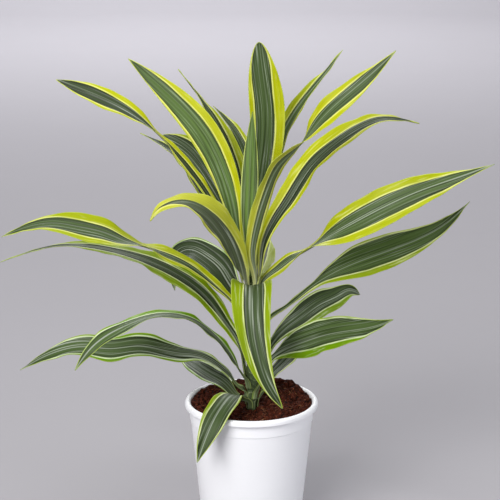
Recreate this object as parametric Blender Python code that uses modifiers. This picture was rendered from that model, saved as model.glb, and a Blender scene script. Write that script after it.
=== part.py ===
"""A lemon lime dracaena in a plain white nursery pot.

The pot stands on the floor with the middle of its flat underside at the origin. X runs to the
right, Y away from the front and Z up. Lengths here are in millimetres and angles in degrees,
and the meshes are made in metres.
"""

import math

import bmesh
import bpy
import numpy as np
from mathutils import Vector, noise

MM = 0.001
GAP = 0.3

# Pot
POT_HEIGHT = 125.0
POT_BASE_RADIUS = 49.0
POT_RIM_RADIUS = 65.0
POT_MOUTH_RADIUS = 59.5
POT_WALL = 1.8
POT_FLOOR = 3.0
RIM_ROLL = (POT_RIM_RADIUS - POT_MOUTH_RADIUS) / 2
RIM_MIDDLE = POT_HEIGHT - RIM_ROLL
COLLAR_TOP = 119.5
COLLAR_BOTTOM = 106.5
COLLAR_RADIUS = 60.2
COLLAR_TAPER = 0.2
COLLAR_STEP = 0.8
LIP = 0.6
FOOT_EDGE = 2.0
FOOT_INSET = 1.5
FLOOR_EDGE = 1.5
TURN_STEPS = 48
SHARP_ANGLE = 40.0

# Soil, whose surface rises to the wall and to the back, with a heap at the back right
SOIL_TOP = 115.0
SOIL_BOWL = 6.5
SOIL_SLOPE = 0.06
SOIL_LUMP = 2.6
SOIL_LUMP_SIZE = 9.0
SOIL_LEVEL_ROUND_STEM = 16.0
SOIL_HEAP = 5.0
SOIL_HEAP_PLACE = (34.0, 42.0)
SOIL_HEAP_SPREAD = 20.0
SOIL_RINGS = 9
STEM_HOLE_BOTTOM = 70.0

# Stem
STEM_BOTTOM = 71.0
STEM_TOP = 268.0
STEM_RADIUS = 5.0
STEM_TIP_RADIUS = 2.4
STEM_TAPER_FROM = 205.0
STEM_EDGE = 1.0

# Leaves: each foot wraps the stem, rises along it and lets go of it over the clasp length
BLADE = 0.8
STATIONS = 24
ACROSS = 4
SAMPLES_A_SPAN = 40
FOOT_WRAP = 0.7
FOOT_RISE = 7.0
FOOT_LEAN = 1.4
CLASP_LENGTH = 40.0
SHOULDER_POWER = 1.3
TIP_HALF_WIDTH = 0.8
WAVES_FROM = 0.12
WAVES_SPAN = 0.85
WAVES_SWELL_POWER = 0.7
WAVES_EDGE_POWER = 2.5
FRONT = np.array([0.0, -0.95, 0.31])
UP = np.array([0.0, 0.0, 1.0])

# Each leaf has:
# foot: azimuth in degrees and height of its foot on the stem
# width: full width of its blade
# neck, widest: shares of its length where it starts to widen and where it is widest
# slim: how slender its tip is
# gutter: how far its two halves fold up, in degrees
# waves: number, height, phase and lag of the second margin's waves, the last two in degrees
# route: points of its midrib as x, y, z and the turn of its face about the midrib in degrees,
#     where 0 faces the front, or upwards in a leaf that is facing UP
LEAVES = {
    "leaf_top_upright": dict(
        foot=(50, 256), width=34, neck=0.05, widest=0.72, slim=0.58,
        gutter=14, waves=(3, 1.0, 0, 180),
        route=[(1, 6, 278, 0), (6, 18, 320, 4), (14, 24, 368, 4), (15, 28, 406, 0), (11, 31, 439, 0),
               (7, 34, 470, 0)],
    ),
    "leaf_top_young": dict(
        foot=(262, 250), width=17, neck=0.1, widest=0.55, slim=0.9,
        gutter=25, waves=(2, 0.5, 0, 180),
        route=[(-2, -6, 281, 180), (-3, -8, 302, 180), (-2, -10, 336, 180), (-1, -10, 365, 180),
               (0, -8, 388, 180), (1, -6, 410, 180)],
    ),
    "leaf_upper_right_steep": dict(
        foot=(27, 248), width=27, neck=0.08, widest=0.5, slim=1.1,
        gutter=30, waves=(3, 1.0, 0, 180),
        route=[(9, 9, 277, -40), (12, 27, 314, -42), (19, 44, 347, -45), (29, 54, 375, -48),
               (39, 63, 393, -50), (53, 72, 412, -50), (70, 81, 431, -50), (90, 92, 456, -45)],
    ),
    "leaf_upper_left_broad": dict(
        foot=(174, 242), width=29.5, neck=0.06, widest=0.6, slim=0.95,
        gutter=10, waves=(3, 1.0, 0, 180),
        route=[(-11, 6, 278, 55), (-16, 10, 309, 22), (-23, 17, 337, 5), (-34, 25, 364, 0),
               (-46, 31, 384, 0), (-77, 44, 417, 0), (-119, 60, 451, 0)],
    ),
    "leaf_upper_right_twisted": dict(
        foot=(312, 236), width=27, neck=0.0, widest=0.68, slim=1.1,
        gutter=10, waves=(3, 1.0, 0, 180),
        route=[(0, -15, 273, -165), (2, -20, 295, -155), (7, -25, 317, -145), (15, -31, 343, -132),
               (25, -37, 365, -115), (45, -42, 386, -85), (62, -45, 408, -45), (83, -46, 429, -25),
               (106, -46, 449, -15), (130, -42, 471, -15)],
    ),
    "leaf_right_arching": dict(
        foot=(350, 226), width=31, neck=0.12, widest=0.62, slim=1.2,
        gutter=20, waves=(3, 1.8, 60, 150),
        route=[(9, -6, 269, -30), (12, -8, 286, -30), (25, -6, 312, -35), (35, -3, 327, -35),
               (54, 6, 355, -40), (84, 14, 381, -45), (122, 24, 398, -50), (161, 34, 392, -60)],
    ),
    "leaf_upper_left_long": dict(
        foot=(200, 224), width=23, neck=0.14, widest=0.82, slim=0.85,
        gutter=12, waves=(3, 1.0, 0, 180),
        route=[(-18, -9, 282, 55), (-28, -15, 309, 50), (-43, -18, 338, 50), (-66, -19, 369, 66),
               (-86, -17, 390, 84), (-112, -12, 410, 42), (-143, -6, 425, 28), (-182, 2, 439, 30)],
    ),
    "leaf_upper_left_hidden": dict(
        foot=(135, 232), width=24, neck=0.1, widest=0.5, slim=1.2,
        gutter=15, waves=(3, 1.0, 0, 180),
        route=[(-12, 16, 269, 40), (-24, 32, 292, 40), (-42, 56, 316, 40), (-61, 86, 338, 45),
               (-87, 114, 355, 50), (-114, 136, 365, 50)],
    ),
    "leaf_upper_left_middle": dict(
        foot=(96, 239), width=36, neck=0.05, widest=0.62, slim=0.8,
        gutter=12, waves=(3, 1.0, 0, 180),
        route=[(-5, 17, 273, 30), (-15, 32, 295, 30), (-32, 52, 323, 25), (-48, 72, 344, 15),
               (-67, 92, 360, 10), (-89, 108, 368, 10)],
    ),
    "leaf_left_curled": dict(
        foot=(228, 232), width=29, neck=0.05, widest=0.58, slim=1.0,
        gutter=15, waves=(3, 1.5, 0, 180),
        route=[(-7, -15, 256, 190), (-14, -31, 284, 200), (-25, -50, 310, 205), (-40, -68, 331, 212),
               (-58, -82, 342, 222), (-74, -92, 342, 222), (-86, -97, 334, 215), (-90, -99, 327, 210)],
    ),
    "leaf_top_left_edge": dict(
        foot=(150, 257), width=26, neck=0.12, widest=0.45, slim=1.5,
        gutter=20, waves=(3, 1.0, 0, 180),
        route=[(-5, 9, 277, 30), (-9, 27, 309, 25), (-15, 40, 337, 18), (-25, 52, 366, 15),
               (-37, 64, 390, 25), (-53, 76, 414, 75), (-72, 88, 437, 80)],
    ),
    "leaf_top_back": dict(
        foot=(106, 249), width=26, neck=0.1, widest=0.5, slim=1.1,
        gutter=20, waves=(3, 1.0, 0, 180),
        route=[(-1, 14, 272, 10), (0, 38, 306, 20), (-1, 64, 343, 30), (-10, 82, 367, 35),
               (-23, 97, 383, 40), (-38, 110, 397, 45)],
    ),
    "leaf_front_drooping": dict(
        foot=(264, 216), width=41, neck=0.05, widest=0.32, slim=0.9,
        gutter=38, waves=(3, 1.0, 0, 180),
        facing=UP,
        route=[(0, -11, 237, 0), (0, -20, 245, 0), (0, -34, 250, 0), (0, -50, 251, 0), (0, -70, 242, 3),
               (1, -86, 225, 8), (6, -98, 200, 30), (15, -106, 176, 45), (28, -110, 155, 60)],
    ),
    "leaf_back_level": dict(
        foot=(85, 211), width=30, neck=0.05, widest=0.4, slim=1.1,
        gutter=20, waves=(3, 1.0, 0, 180),
        route=[(4, 14, 244, -20), (7, 36, 247, -25), (10, 68, 247, -25), (13, 102, 247, -25),
               (16, 138, 246, -25), (19, 172, 247, -20)],
    ),
    "leaf_right_broad": dict(
        foot=(348, 208), width=39, neck=0.04, widest=0.56, slim=1.3,
        gutter=10, waves=(3, 1.5, 0, 150),
        route=[(11, -1, 244, -60), (24, -5, 257, -52), (37, -8, 268, -58), (54, -10, 279, -86),
               (68, -13, 289, -70), (84, -16, 299, -42), (120, -20, 320, -18), (157, -22, 338, -18),
               (194, -20, 351, -25), (227, -14, 362, -30)],
    ),
    "leaf_right_dark": dict(
        foot=(5, 164), width=36, neck=0.36, widest=0.58, slim=1.25,
        gutter=10, waves=(3, 1.5, 90, 150),
        route=[(12, 4, 199, -50), (36, 12, 217, -55), (56, 18, 232, -50), (87, 24, 250, -24),
               (125, 29, 264, -16), (160, 32, 277, -18), (188, 32, 293, -25), (211, 28, 317, -30)],
    ),
    "leaf_right_back_short": dict(
        foot=(60, 127), width=30, neck=0.25, widest=0.62, slim=0.8,
        gutter=12, waves=(3, 1.0, 0, 180),
        route=[(8, 9, 144, -20), (14, 18, 162, -20), (28, 34, 180, -20), (49, 60, 189, -20),
               (70, 88, 196, -20), (90, 114, 198, -20), (103, 130, 199, -20), (115, 142, 191, -20)],
    ),
    "leaf_right_front": dict(
        foot=(312, 126), width=34, neck=0.26, widest=0.55, slim=1.0,
        gutter=12, waves=(3, 1.5, 0, 150),
        route=[(7, -9, 140, -40), (13, -18, 162, -35), (28, -36, 185, -28), (47, -58, 201, -20),
               (69, -84, 217, -20), (89, -110, 229, -20), (108, -130, 239, -25), (123, -146, 250, -30)],
    ),
    "leaf_right_low_small": dict(
        foot=(20, 117), width=15, neck=0.1, widest=0.5, slim=1.0,
        gutter=15, waves=(2, 1.0, 0, 180),
        route=[(11, 8, 129, -20), (18, 14, 141, -30), (28, 28, 149, -30), (39, 46, 154, -30),
               (51, 66, 158, -30), (62, 86, 159, -30)],
    ),
    "leaf_left_arch_upper": dict(
        foot=(203, 184), width=33, neck=0.15, widest=0.66, slim=1.2,
        gutter=10, waves=(4, 1.5, 0, 150),
        route=[(-15, -8, 222, 50), (-34, -14, 244, 50), (-51, -18, 260, 50), (-69, -22, 272, 56),
               (-86, -25, 280, 70), (-101, -27, 286, 84), (-118, -27, 291, 60), (-138, -26, 299, 42),
               (-161, -24, 304, 36), (-185, -21, 307, 40), (-211, -15, 302, 50), (-237, -10, 291, 60)],
    ),
    "leaf_left_arch_narrow": dict(
        foot=(165, 146), width=31, neck=0.1, widest=0.42, slim=1.8,
        gutter=12, waves=(4, 1.5, 0, 150),
        route=[(-11, 6, 176, 30), (-26, 12, 201, 40), (-45, 18, 225, 40), (-70, 22, 244, 45),
               (-99, 24, 258, 50), (-136, 26, 269, 60), (-186, 24, 274, 60), (-244, 18, 259, 60)],
    ),
    "leaf_left_bent_over": dict(
        foot=(122, 190), width=34, neck=0.15, widest=0.5, slim=1.0,
        gutter=15, waves=(2, 1.0, 0, 180),
        route=[(-8, 14, 220, 20), (-19, 24, 231, 20), (-31, 42, 245, 20), (-45, 60, 253, 25),
               (-60, 78, 256, 30), (-73, 92, 249, 35), (-80, 100, 231, 20), (-79, 104, 206, 10)],
    ),
    "leaf_left_thin_arch": dict(
        foot=(230, 137), width=23, neck=0.1, widest=0.66, slim=1.0,
        gutter=12, waves=(5, 1.5, 0, 60),
        route=[(-8, -9, 152, 50), (-24, -22, 183, 60), (-46, -38, 211, 70), (-73, -58, 228, 70),
               (-98, -76, 230, 68), (-122, -92, 224, 46), (-143, -104, 212, 24), (-159, -112, 192, 10)],
    ),
    "leaf_left_long_low": dict(
        foot=(196, 128), width=29, neck=0.2, widest=0.58, slim=1.15,
        gutter=10, waves=(3.7, 2.5, 150, 20),
        route=[(-11, -5, 138, 50), (-20, -9, 151, 46), (-29, -14, 162, 42), (-42, -20, 173, 42),
               (-54, -25, 179, 40), (-68, -30, 182, 38), (-91, -34, 188, 38), (-106, -36, 191, 36),
               (-132, -38, 189, 36), (-158, -38, 191, 36), (-186, -36, 185, 38), (-221, -30, 165, 45)],
    ),
    "leaf_left_low_back": dict(
        foot=(148, 120), width=22, neck=0.1, widest=0.5, slim=1.1,
        gutter=12, waves=(3, 1.0, 0, 180),
        route=[(-11, 8, 124, 30), (-24, 14, 133, 35), (-38, 26, 139, 35), (-55, 46, 143, 40),
               (-67, 68, 144, 40), (-77, 90, 146, 40)],
    ),
    "leaf_front_low_drooping": dict(
        foot=(244, 117), width=28, neck=0.12, widest=0.5, slim=1.0,
        gutter=12, waves=(2, 1.0, 0, 180),
        facing=UP,
        route=[(-9, -13, 129, 0), (-17, -25, 138, 0), (-24, -42, 138, 0), (-32, -57, 131, -10),
               (-41, -68, 115, -30), (-51, -76, 89, -40)],
    ),
}


def clear_scene():
    for old in list(bpy.data.objects):
        bpy.data.objects.remove(old, do_unlink=True)


def new_collection(name):
    collection = bpy.data.collections.new(name)
    bpy.context.scene.collection.children.link(collection)
    return collection


def new_material(name, colour, roughness, metallic=0.0):
    material = bpy.data.materials.new(name)
    material.use_nodes = True
    shader = material.node_tree.nodes["Principled BSDF"]
    shader.inputs["Base Color"].default_value = (*colour, 1.0)
    shader.inputs["Roughness"].default_value = roughness
    shader.inputs["Metallic"].default_value = metallic
    return material


def add_object(name, mesh, material, collection):
    piece = bpy.data.objects.new(name, mesh)
    mesh.materials.append(material)
    collection.objects.link(piece)
    return piece


def turned_mesh(name, profile):
    """The profile of (radius, height) points turned about Z, shaded smooth."""
    mesh = bpy.data.meshes.new(name + "_profile")
    points = [(radius * MM, 0.0, height * MM) for radius, height in profile]
    mesh.from_pydata(points, [(i, i + 1) for i in range(len(points) - 1)], [])
    guide = bpy.data.objects.new(name + "_profile", mesh)
    bpy.context.scene.collection.objects.link(guide)
    screw = guide.modifiers.new("Screw", "SCREW")
    screw.steps = TURN_STEPS
    screw.render_steps = TURN_STEPS
    screw.use_merge_vertices = True
    screw.merge_threshold = 0.00001
    graph = bpy.context.evaluated_depsgraph_get()
    turned = bpy.data.meshes.new_from_object(guide.evaluated_get(graph))
    turned.name = name
    bpy.data.objects.remove(guide, do_unlink=True)
    bpy.data.meshes.remove(mesh)
    turned.shade_smooth()
    turned.set_sharp_from_angle(angle=math.radians(SHARP_ANGLE))
    return turned


def wall_radius(height):
    """Outer radius of the pot's tapered wall."""
    top = COLLAR_RADIUS - COLLAR_STEP
    return POT_BASE_RADIUS + (top - POT_BASE_RADIUS) * height / COLLAR_BOTTOM


def inner_radius(height):
    """Inner radius of the pot, which flares to its mouth under the rolled rim."""
    if height <= COLLAR_BOTTOM:
        return wall_radius(height) - POT_WALL
    share = (height - COLLAR_BOTTOM) / (RIM_MIDDLE - COLLAR_BOTTOM)
    low = wall_radius(COLLAR_BOTTOM) - POT_WALL
    return low + (POT_MOUTH_RADIUS - low) * min(share, 1.0)


def pot_profile():
    """Radius and height from the middle of the floor, over the rolled rim and down to the foot."""
    inside = [
        (0.0, POT_FLOOR),
        (inner_radius(POT_FLOOR) - FLOOR_EDGE, POT_FLOOR),
        (inner_radius(POT_FLOOR + FLOOR_EDGE), POT_FLOOR + FLOOR_EDGE),
        (inner_radius(COLLAR_BOTTOM), COLLAR_BOTTOM),
    ]
    middle = POT_MOUTH_RADIUS + RIM_ROLL
    roll = [
        (middle - RIM_ROLL * math.cos(a), RIM_MIDDLE + RIM_ROLL * math.sin(a))
        for a in np.radians([0, 30, 60, 90, 120, 150, 180])
    ]
    outside = [
        (POT_RIM_RADIUS, COLLAR_TOP + LIP),
        (POT_RIM_RADIUS - LIP, COLLAR_TOP),
        (COLLAR_RADIUS + COLLAR_TAPER, COLLAR_TOP),
        (COLLAR_RADIUS, COLLAR_BOTTOM + LIP),
        (wall_radius(COLLAR_BOTTOM), COLLAR_BOTTOM),
        (wall_radius(FOOT_EDGE), FOOT_EDGE),
        (POT_BASE_RADIUS - FOOT_INSET, 0.0),
        (0.0, 0.0),
    ]
    return inside + roll + outside


def soil_profile():
    """Radius and height from the floor of the stem's hole, over the surface and down the side."""
    hole = stem_radius(SOIL_TOP) + GAP
    edge = inner_radius(SOIL_TOP) - GAP
    top = [(hole + (edge - hole) * i / SOIL_RINGS, SOIL_TOP) for i in range(SOIL_RINGS + 1)]
    bottom = POT_FLOOR + GAP
    side = [
        (inner_radius(COLLAR_BOTTOM) - GAP, COLLAR_BOTTOM),
        (inner_radius(bottom + FLOOR_EDGE) - GAP, bottom + FLOOR_EDGE),
        (inner_radius(bottom) - FLOOR_EDGE - GAP, bottom),
        (0.0, bottom),
    ]
    return [(0.0, STEM_HOLE_BOTTOM), (hole, STEM_HOLE_BOTTOM)] + top + side


def soil_height(x, y):
    """Lift of the crumbly surface over its level at the stem."""
    reach = math.hypot(x, y)
    bowl = SOIL_BOWL * (reach / inner_radius(SOIL_TOP)) ** 2
    from_heap = math.hypot(x - SOIL_HEAP_PLACE[0], y - SOIL_HEAP_PLACE[1])
    heap = SOIL_HEAP * math.exp(-((from_heap / SOIL_HEAP_SPREAD) ** 2))
    crumbs = SOIL_LUMP * noise.noise(Vector((x, y, 0.0)) / SOIL_LUMP_SIZE)
    return bowl + SOIL_SLOPE * y + heap + crumbs * min(reach / SOIL_LEVEL_ROUND_STEM, 1.0) ** 2


def stem_radius(height):
    if height <= STEM_TAPER_FROM:
        return STEM_RADIUS
    share = (height - STEM_TAPER_FROM) / (STEM_TOP - STEM_TAPER_FROM)
    return STEM_RADIUS + (STEM_TIP_RADIUS - STEM_RADIUS) * share


def stem_profile():
    return [
        (0.0, STEM_TOP),
        (STEM_TIP_RADIUS - STEM_EDGE, STEM_TOP),
        (stem_radius(STEM_TOP - STEM_EDGE), STEM_TOP - STEM_EDGE),
        (STEM_RADIUS, STEM_TAPER_FROM),
        (STEM_RADIUS, STEM_BOTTOM + STEM_EDGE),
        (STEM_RADIUS - STEM_EDGE, STEM_BOTTOM),
        (0.0, STEM_BOTTOM),
    ]


def ease(share):
    """A smooth step from 0 to 1."""
    share = np.clip(share, 0.0, 1.0)
    return share * share * (3 - 2 * share)


def smooth_rows(rows, count):
    """Even steps along the smooth curve through the rows, whose first three values are a place."""
    rows = np.array(rows, float)
    steps = np.linalg.norm(np.diff(rows[:, :3], axis=0), axis=1)
    chord = np.concatenate([[0.0], np.cumsum(steps)])
    last = len(rows) - 1
    system = np.eye(last + 1)
    pull = np.zeros_like(rows)
    for i in range(1, last):
        system[i, i - 1 : i + 2] = steps[i - 1], 2 * (steps[i - 1] + steps[i]), steps[i]
        pull[i] = 6 * ((rows[i + 1] - rows[i]) / steps[i] - (rows[i] - rows[i - 1]) / steps[i - 1])
    bend = np.linalg.solve(system, pull)
    at = np.linspace(0.0, chord[-1], SAMPLES_A_SPAN * last)
    i = np.clip(np.searchsorted(chord, at, side="right") - 1, 0, last - 1)
    a = ((chord[i + 1] - at) / steps[i])[:, None]
    b = 1.0 - a
    curve = a * rows[i] + b * rows[i + 1]
    curve += ((a**3 - a) * bend[i] + (b**3 - b) * bend[i + 1]) * (steps[i] ** 2)[:, None] / 6
    run = np.linalg.norm(np.diff(curve[:, :3], axis=0), axis=1)
    run = np.concatenate([[0.0], np.cumsum(run)])
    even = np.linspace(0.0, run[-1], count)
    return np.stack([np.interp(even, run, column) for column in curve.T], axis=1), even


def unit(vectors):
    return vectors / np.linalg.norm(vectors, axis=-1, keepdims=True)


def square_to(vector, along):
    """The part of the vector that is square to each direction, at unit length."""
    return unit(vector - np.sum(vector * along, axis=1, keepdims=True) * along)


def turned_about(along, face, angles):
    """Each face direction turned by its angle about the direction that the midrib runs in."""
    angles = angles[:, None]
    return face * np.cos(angles) + np.cross(along, face) * np.sin(angles)


def half_width(leaf, foot, s):
    """Half the blade's width at the shares s of its length, from its width at the foot."""
    full = leaf["width"] / 2
    rise = np.clip((s - leaf["neck"]) / (leaf["widest"] - leaf["neck"]), 0.0, 1.0)
    rise = np.sin(np.pi / 2 * rise) ** SHOULDER_POWER
    past = np.clip((s - leaf["widest"]) / (1.0 - leaf["widest"]), 0.0, 1.0)
    fall = np.cos(np.pi / 2 * past) ** leaf["slim"]
    return np.where(
        s < leaf["widest"],
        foot + (full - foot) * rise,
        TIP_HALF_WIDTH + (full - TIP_HALF_WIDTH) * fall,
    )


def leaf_surface(leaf, stations, across):
    """Places of the leaf's middle surface, from foot to tip and from one margin to the other."""
    azimuth = math.radians(leaf["foot"][0])
    height = leaf["foot"][1]
    out = np.array([math.cos(azimuth), math.sin(azimuth), 0.0])
    reach = stem_radius(height) + GAP + BLADE / 2
    foot = out * reach + height * UP
    collar = foot + out * FOOT_LEAN + FOOT_RISE * UP
    first_turn = leaf["route"][0][3]
    rows = [(*foot, first_turn), (*collar, first_turn)] + leaf["route"]
    rows, run = smooth_rows(rows, stations)
    s = run / run[-1]
    middle = rows[:, :3]
    along = unit(np.gradient(middle, axis=0))

    face = square_to(leaf.get("facing", FRONT), along)
    face = turned_about(along, face, np.radians(rows[:, 3]))
    inward = square_to(-out, along)
    side = np.cross(along, face)
    clasp = np.arctan2(np.sum(inward * side, axis=1), np.sum(inward * face, axis=1))
    hold = 1.0 - ease((run - FOOT_RISE) / CLASP_LENGTH)
    face = turned_about(along, face, clasp * hold)
    side = np.cross(along, face)

    half = half_width(leaf, FOOT_WRAP * reach, s)
    gutter = math.radians(leaf["gutter"])
    curl = ((gutter + (FOOT_WRAP - gutter) * hold) / half)[:, None]
    u = np.linspace(-1.0, 1.0, across + 1)[None, :]
    x = u * half[:, None]
    count, lift, phase, lag = leaf["waves"]
    swell = np.sin(np.pi * np.clip((s - WAVES_FROM) / WAVES_SPAN, 0.0, 1.0)) ** WAVES_SWELL_POWER
    start = np.radians(phase + lag * (u > 0))
    wave = np.sin(2 * np.pi * count * s[:, None] + start) * np.abs(u) ** WAVES_EDGE_POWER
    rise = (1 - np.cos(curl * x)) / curl + lift * swell[:, None] * wave
    reach_across = np.sin(curl * x) / curl
    return middle[:, None] + side[:, None] * reach_across[..., None] + face[:, None] * rise[..., None]


def leaf_mesh(name, leaf):
    """The leaf's surface as a grid moved by the formula, split along one diagonal."""
    shape = bmesh.new()
    bmesh.ops.create_grid(shape, x_segments=ACROSS, y_segments=STATIONS - 1, size=0.5)
    places = leaf_surface(leaf, STATIONS, ACROSS)
    for vertex in shape.verts:
        column = round((vertex.co.x + 0.5) * ACROSS)
        row = round((vertex.co.y + 0.5) * (STATIONS - 1))
        vertex.co = Vector(places[row, column] * MM)
    mesh = bpy.data.meshes.new(name)
    shape.to_mesh(mesh)
    shape.free()
    mesh.shade_smooth()
    return mesh


def build_pot(collection):
    plastic = new_material("pot_white_plastic", (0.86, 0.88, 0.92), 0.35)
    add_object("pot", turned_mesh("pot", pot_profile()), plastic, collection)


def build_soil(collection):
    peat = new_material("soil_peat", (0.09, 0.035, 0.02), 0.95)
    mesh = turned_mesh("soil", soil_profile())
    for vertex in mesh.vertices:
        height = vertex.co.z / MM
        if height < SOIL_TOP - GAP:
            continue
        x = vertex.co.x / MM
        y = vertex.co.y / MM
        height += soil_height(x, y)
        flare = inner_radius(height) / inner_radius(SOIL_TOP)
        vertex.co = Vector((x * flare, y * flare, height)) * MM
    add_object("soil", mesh, peat, collection)


def build_stem(collection):
    bark = new_material("stem_green", (0.16, 0.2, 0.08), 0.7)
    add_object("stem", turned_mesh("stem", stem_profile()), bark, collection)


def build_leaves(collection):
    green = new_material("leaf_green", (0.12, 0.26, 0.04), 0.4)
    for name, leaf in LEAVES.items():
        piece = add_object(name, leaf_mesh(name, leaf), green, collection)
        split = piece.modifiers.new("Split", "TRIANGULATE")
        split.quad_method = "FIXED"
        thicken = piece.modifiers.new("Blade", "SOLIDIFY")
        thicken.thickness = BLADE * MM
        thicken.offset = 0.0


def main():
    clear_scene()
    collection = new_collection("potted_lemon_lime_dracaena")
    build_pot(collection)
    build_soil(collection)
    build_stem(collection)
    build_leaves(collection)


main()
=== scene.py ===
"""The looks of a lemon lime dracaena in a plain white nursery pot.

Run as a script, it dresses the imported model: fine striped leaves, a stem in its leaf sheaths,
crumbly soil, a satin pot, and a plain stage with soft light. The pot stands on the floor with the
middle of its underside at the origin. X runs to the right, Y away from the front and Z up. Shapes
are worked out in millimetres, angles in degrees, and the meshes are made in metres.
"""

import math

import bmesh
import bpy
import numpy as np
from bpy.props import FloatProperty, FloatVectorProperty, IntProperty, PointerProperty
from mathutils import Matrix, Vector, noise


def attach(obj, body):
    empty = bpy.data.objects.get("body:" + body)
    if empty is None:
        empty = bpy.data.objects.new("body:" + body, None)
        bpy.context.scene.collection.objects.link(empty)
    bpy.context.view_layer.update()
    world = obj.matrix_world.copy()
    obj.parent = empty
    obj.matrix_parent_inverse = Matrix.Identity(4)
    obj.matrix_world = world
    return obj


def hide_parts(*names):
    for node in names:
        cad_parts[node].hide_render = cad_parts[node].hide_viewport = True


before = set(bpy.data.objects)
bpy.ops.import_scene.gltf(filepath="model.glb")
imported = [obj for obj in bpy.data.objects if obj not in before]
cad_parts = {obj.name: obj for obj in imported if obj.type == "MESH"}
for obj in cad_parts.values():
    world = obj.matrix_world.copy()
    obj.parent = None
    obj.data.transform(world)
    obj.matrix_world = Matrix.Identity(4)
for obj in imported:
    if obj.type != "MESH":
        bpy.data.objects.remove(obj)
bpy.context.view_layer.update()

bl_info = {
    "name": "Lemon lime dracaena",
    "version": (1, 0, 0),
    "blender": (4, 5, 0),
    "location": "View3D > Sidebar > Dracaena",
    "description": "Leaves, stem, soil, pot and stage of a potted lemon lime dracaena",
    "category": "Object",
}

MM = 0.001
BODY = "root"
BLACK = (0.0, 0.0, 0.0)
UP = np.array([0.0, 0.0, 1.0])

# Pot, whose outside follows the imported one. The rounds are the radii of its corners
POT_HEIGHT = 125.0
POT_BASE_RADIUS = 49.0
POT_RIM_RADIUS = 65.0
POT_MOUTH_RADIUS = 59.5
POT_WALL = 1.8
POT_FLOOR = 3.0
RIM_ROLL = (POT_RIM_RADIUS - POT_MOUTH_RADIUS) / 2
RIM_MIDDLE = POT_HEIGHT - RIM_ROLL
RIM_SKIRT = 119.4
COLLAR_BOTTOM = 106.5
COLLAR_RADIUS = 60.2
COLLAR_TAPER = 0.2
COLLAR_STEP = 0.8
FLOOR_ROUND = 1.5
FLARE_ROUND = 6.0
SKIRT_ROUND = 0.7
SKIRT_ROOT_ROUND = 0.5
COLLAR_ROUND = 0.45
STEP_ROUND = 0.3
FOOT_ROUND = 1.2
ROLL_ANGLES = range(12, 181, 12)

# Meshes turned about Z
SHARP_ANGLE = 40.0
MERGE_METRES = 0.00001

# Soil, whose surface rises to the wall and to the back, with a heap at the back right
SOIL_TOP = 115.0
SOIL_BOWL = 6.5
SOIL_SLOPE = 0.06
SOIL_LUMP = 2.6
SOIL_LUMP_SIZE = 9.0
SOIL_LEVEL_ROUND_STEM = 16.0
SOIL_HEAP = 5.0
SOIL_HEAP_PLACE = (34.0, 42.0)
SOIL_HEAP_SPREAD = 20.0
STEM_HOLE_BOTTOM = 70.0
GAP = 0.3

# Small forms of the soil's surface, each with its height, its size and its layer of the noise
SMALL_FORM = (1.3, 3.2, 40.0)
TINY_FORM = (0.7, 1.5, 80.0)
FORMS_AT_STEM = 0.35

# Loose crumbs: most are small. Each is squashed, swollen by a noise and set into the surface
CRUMB_SIZES = (0.6, 2.5)
CRUMB_SIZE_POWER = 0.4
CRUMB_SQUASH = (0.6, 1.3)
CRUMB_SWELL = 0.75
CRUMB_SWELL_SCALE = 1.1
CRUMB_NOISE_REACH = 50.0
CRUMB_STANDS_OUT = 0.2
CRUMB_STEM_ROOM = 1.5

# Loose fibres, which arch a little over the surface
FIBRE_LENGTHS = (5.0, 16.0)
FIBRE_RADII = (0.16, 0.34)
FIBRE_BEND = 1.6
FIBRE_TAPER = 0.5
FIBRE_STEPS = 9
FIBRE_SIDES = 5
FIBRE_WALL_ROOM = 2.0
FIBRE_PLACE_ROOM = 6.0
FIBRE_LIFT = 0.5
FIBRE_ARCH = 0.9

# Stem, whose leaf sheaths have slanting edges
STEM_BOTTOM = 71.0
STEM_TOP = 268.0
STEM_RADIUS = 5.0
STEM_TIP_RADIUS = 2.4
STEM_TAPER_FROM = 205.0
STEM_EDGE = 1.0
STEM_ROW = 0.8
STEM_FACES = 96
SHEATH_SLANT = 0.9
SHEATH_TWIST = 7.0

# Leaves: each foot wraps the stem, rises along it and lets go of it over the clasp length
SOLID_BLADE = 0.8
SAMPLES_A_SPAN = 120
FOOT_WRAP = 0.7
FOOT_RISE = 7.0
FOOT_LEAN = 1.4
CLASP_LENGTH = 40.0
SHOULDER_POWER = 1.3
TIP_HALF_WIDTH = 0.3
WAVES_FROM = 0.12
WAVES_SPAN = 0.85
WAVES_SWELL_POWER = 0.7
WAVES_EDGE_POWER = 2.5
FRONT = np.array([0.0, -0.95, 0.31])
SHAPE_SEED_STEP = 3.7

# Low relief of a blade
RIB_WIDTH = 1.1
RIB_FADE_POWER = 0.5
EDGE_THINNING = 0.5
CREASE_DEPTH = 0.3
CREASE_WIDTH = 1.3
PLEAT_WIDTH = 3.6
PLEAT_SWAY = 0.25
PLEAT_SWAY_LENGTH = 45.0
RIPPLE_LENGTH = 17.0
RIPPLE_LANES = (3.0, 8.0)

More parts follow.
